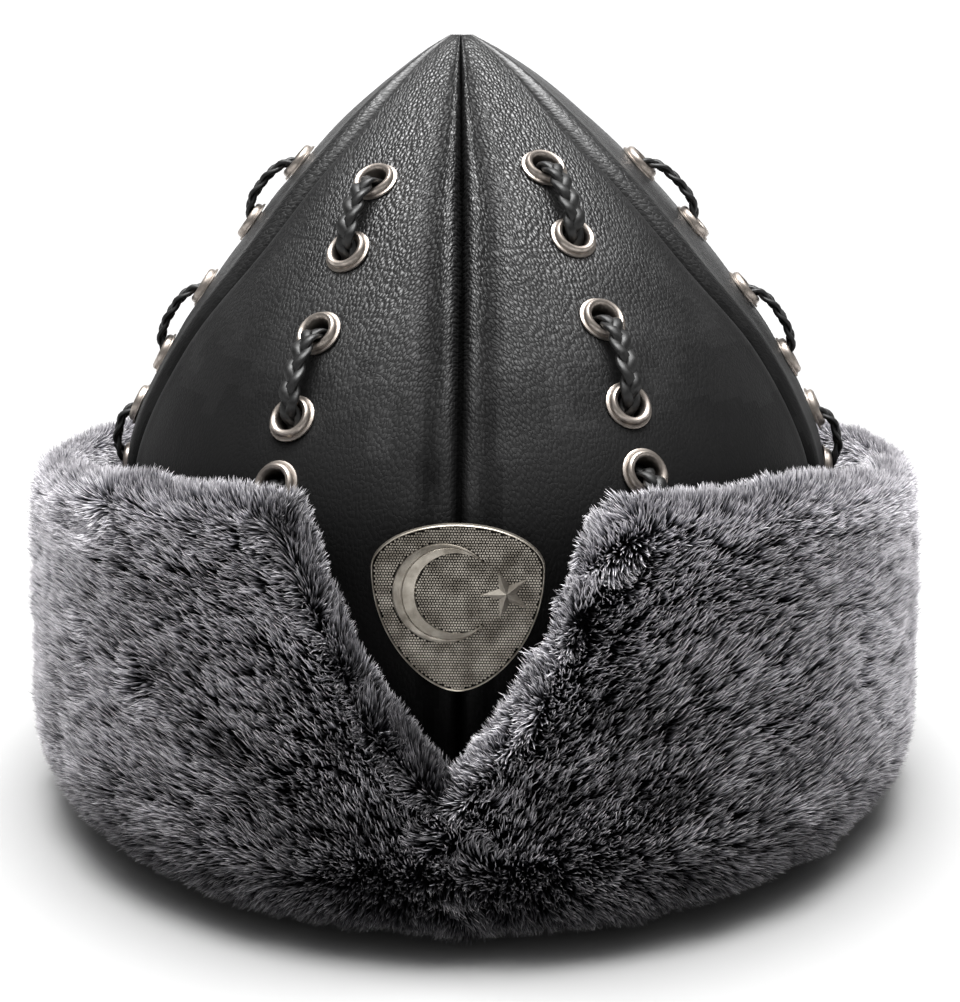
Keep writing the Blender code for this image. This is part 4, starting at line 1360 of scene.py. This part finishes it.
def add_floor():
    """A plain pale floor, as wide as any view needs."""
    material, _, _ = new_material("pale_floor", Base_Color=FLOOR_GREY, Roughness=0.9)
    mesh = bpy.data.meshes.new("floor")
    corners = [(x * FLOOR_REACH, y * FLOOR_REACH, 0) for x, y in ((-1, -1), (1, -1), (1, 1), (-1, 1))]
    mesh.from_pydata(corners, [], [(0, 1, 2, 3)])
    mesh.materials.append(material)
    floor = add_object("floor", mesh)


def add_studio():
    """A soft studio round the hat: a light overhead, and pale panels at the sides and behind."""
    scene = bpy.context.scene
    world = bpy.data.worlds.new("studio")
    world.use_nodes = True
    tree = world.node_tree
    way = add_node(tree, "ShaderNodeTexCoord").outputs["Generated"]
    sideways, forward, height = add_node(tree, "ShaderNodeSeparateXYZ", {0: way}).outputs
    light = add_ramp(tree, height, *SKY)
    for panel, towards in ((SIDE_PANELS, add_math(tree, "ABSOLUTE", sideways)), (BACK_PANEL, forward)):
        share = add_range(tree, height, *panel.height, panel.power, 0.0)
        share = add_math(tree, "MULTIPLY", add_range(tree, towards, *panel.way, 0.0, 1.0), share)
        light = add_math(tree, "ADD", light, share)
    background = tree.nodes["Background"]
    background.inputs["Color"].default_value = (1.0, 1.0, 1.0, 1.0)
    tree.links.new(add_math(tree, "MULTIPLY", light, SKY_POWER), background.inputs["Strength"])
    scene.world = world
    scene.view_settings.view_transform = "Standard"


def add_camera():
    turn = math.radians(CAMERA_TURN)
    rise = math.radians(CAMERA_ELEVATION)
    away = Vector((math.sin(turn) * math.cos(rise), -math.cos(turn) * math.cos(rise), math.sin(rise)))
    camera = bpy.data.cameras.new("camera")
    camera.lens = CAMERA_LENS
    camera.sensor_fit = "HORIZONTAL"
    camera.clip_start = 0.01
    item = add_object("camera", camera)
    item.location = CAMERA_AIM + CAMERA_DISTANCE * away
    item.rotation_euler = (-away).to_track_quat("-Z", "Y").to_euler()
    bpy.context.scene.camera = item


def main():
    add_camera()
    add_studio()
    add_floor()
    # Lit and shaded copies of the leather, duller where painted shade lies
    leathers = [leather_material(f"leather_{level}", gloss) for level, gloss in enumerate(PAINTED_SHADE_GLOSSES)]
    lining = lining_material()
    nickel = nickel_material()
    lace = lace_material()
    for gore in GORES:
        make_gore(gore, leathers, lining)
        make_eyelets(gore, nickel)
        make_lace(gore, lace)
    make_backing(backing_material())
    make_fur(fur_material())
    silver = silver_material(
        "antique_silver", dark=(0.24, 0.215, 0.18), light=(0.52, 0.48, 0.42), roughness=0.36
    )
    patina = silver_material(
        "dark_silver", dark=(0.010, 0.009, 0.008), light=(0.035, 0.032, 0.028), roughness=0.60
    )
    make_badge(silver, patina)


main()
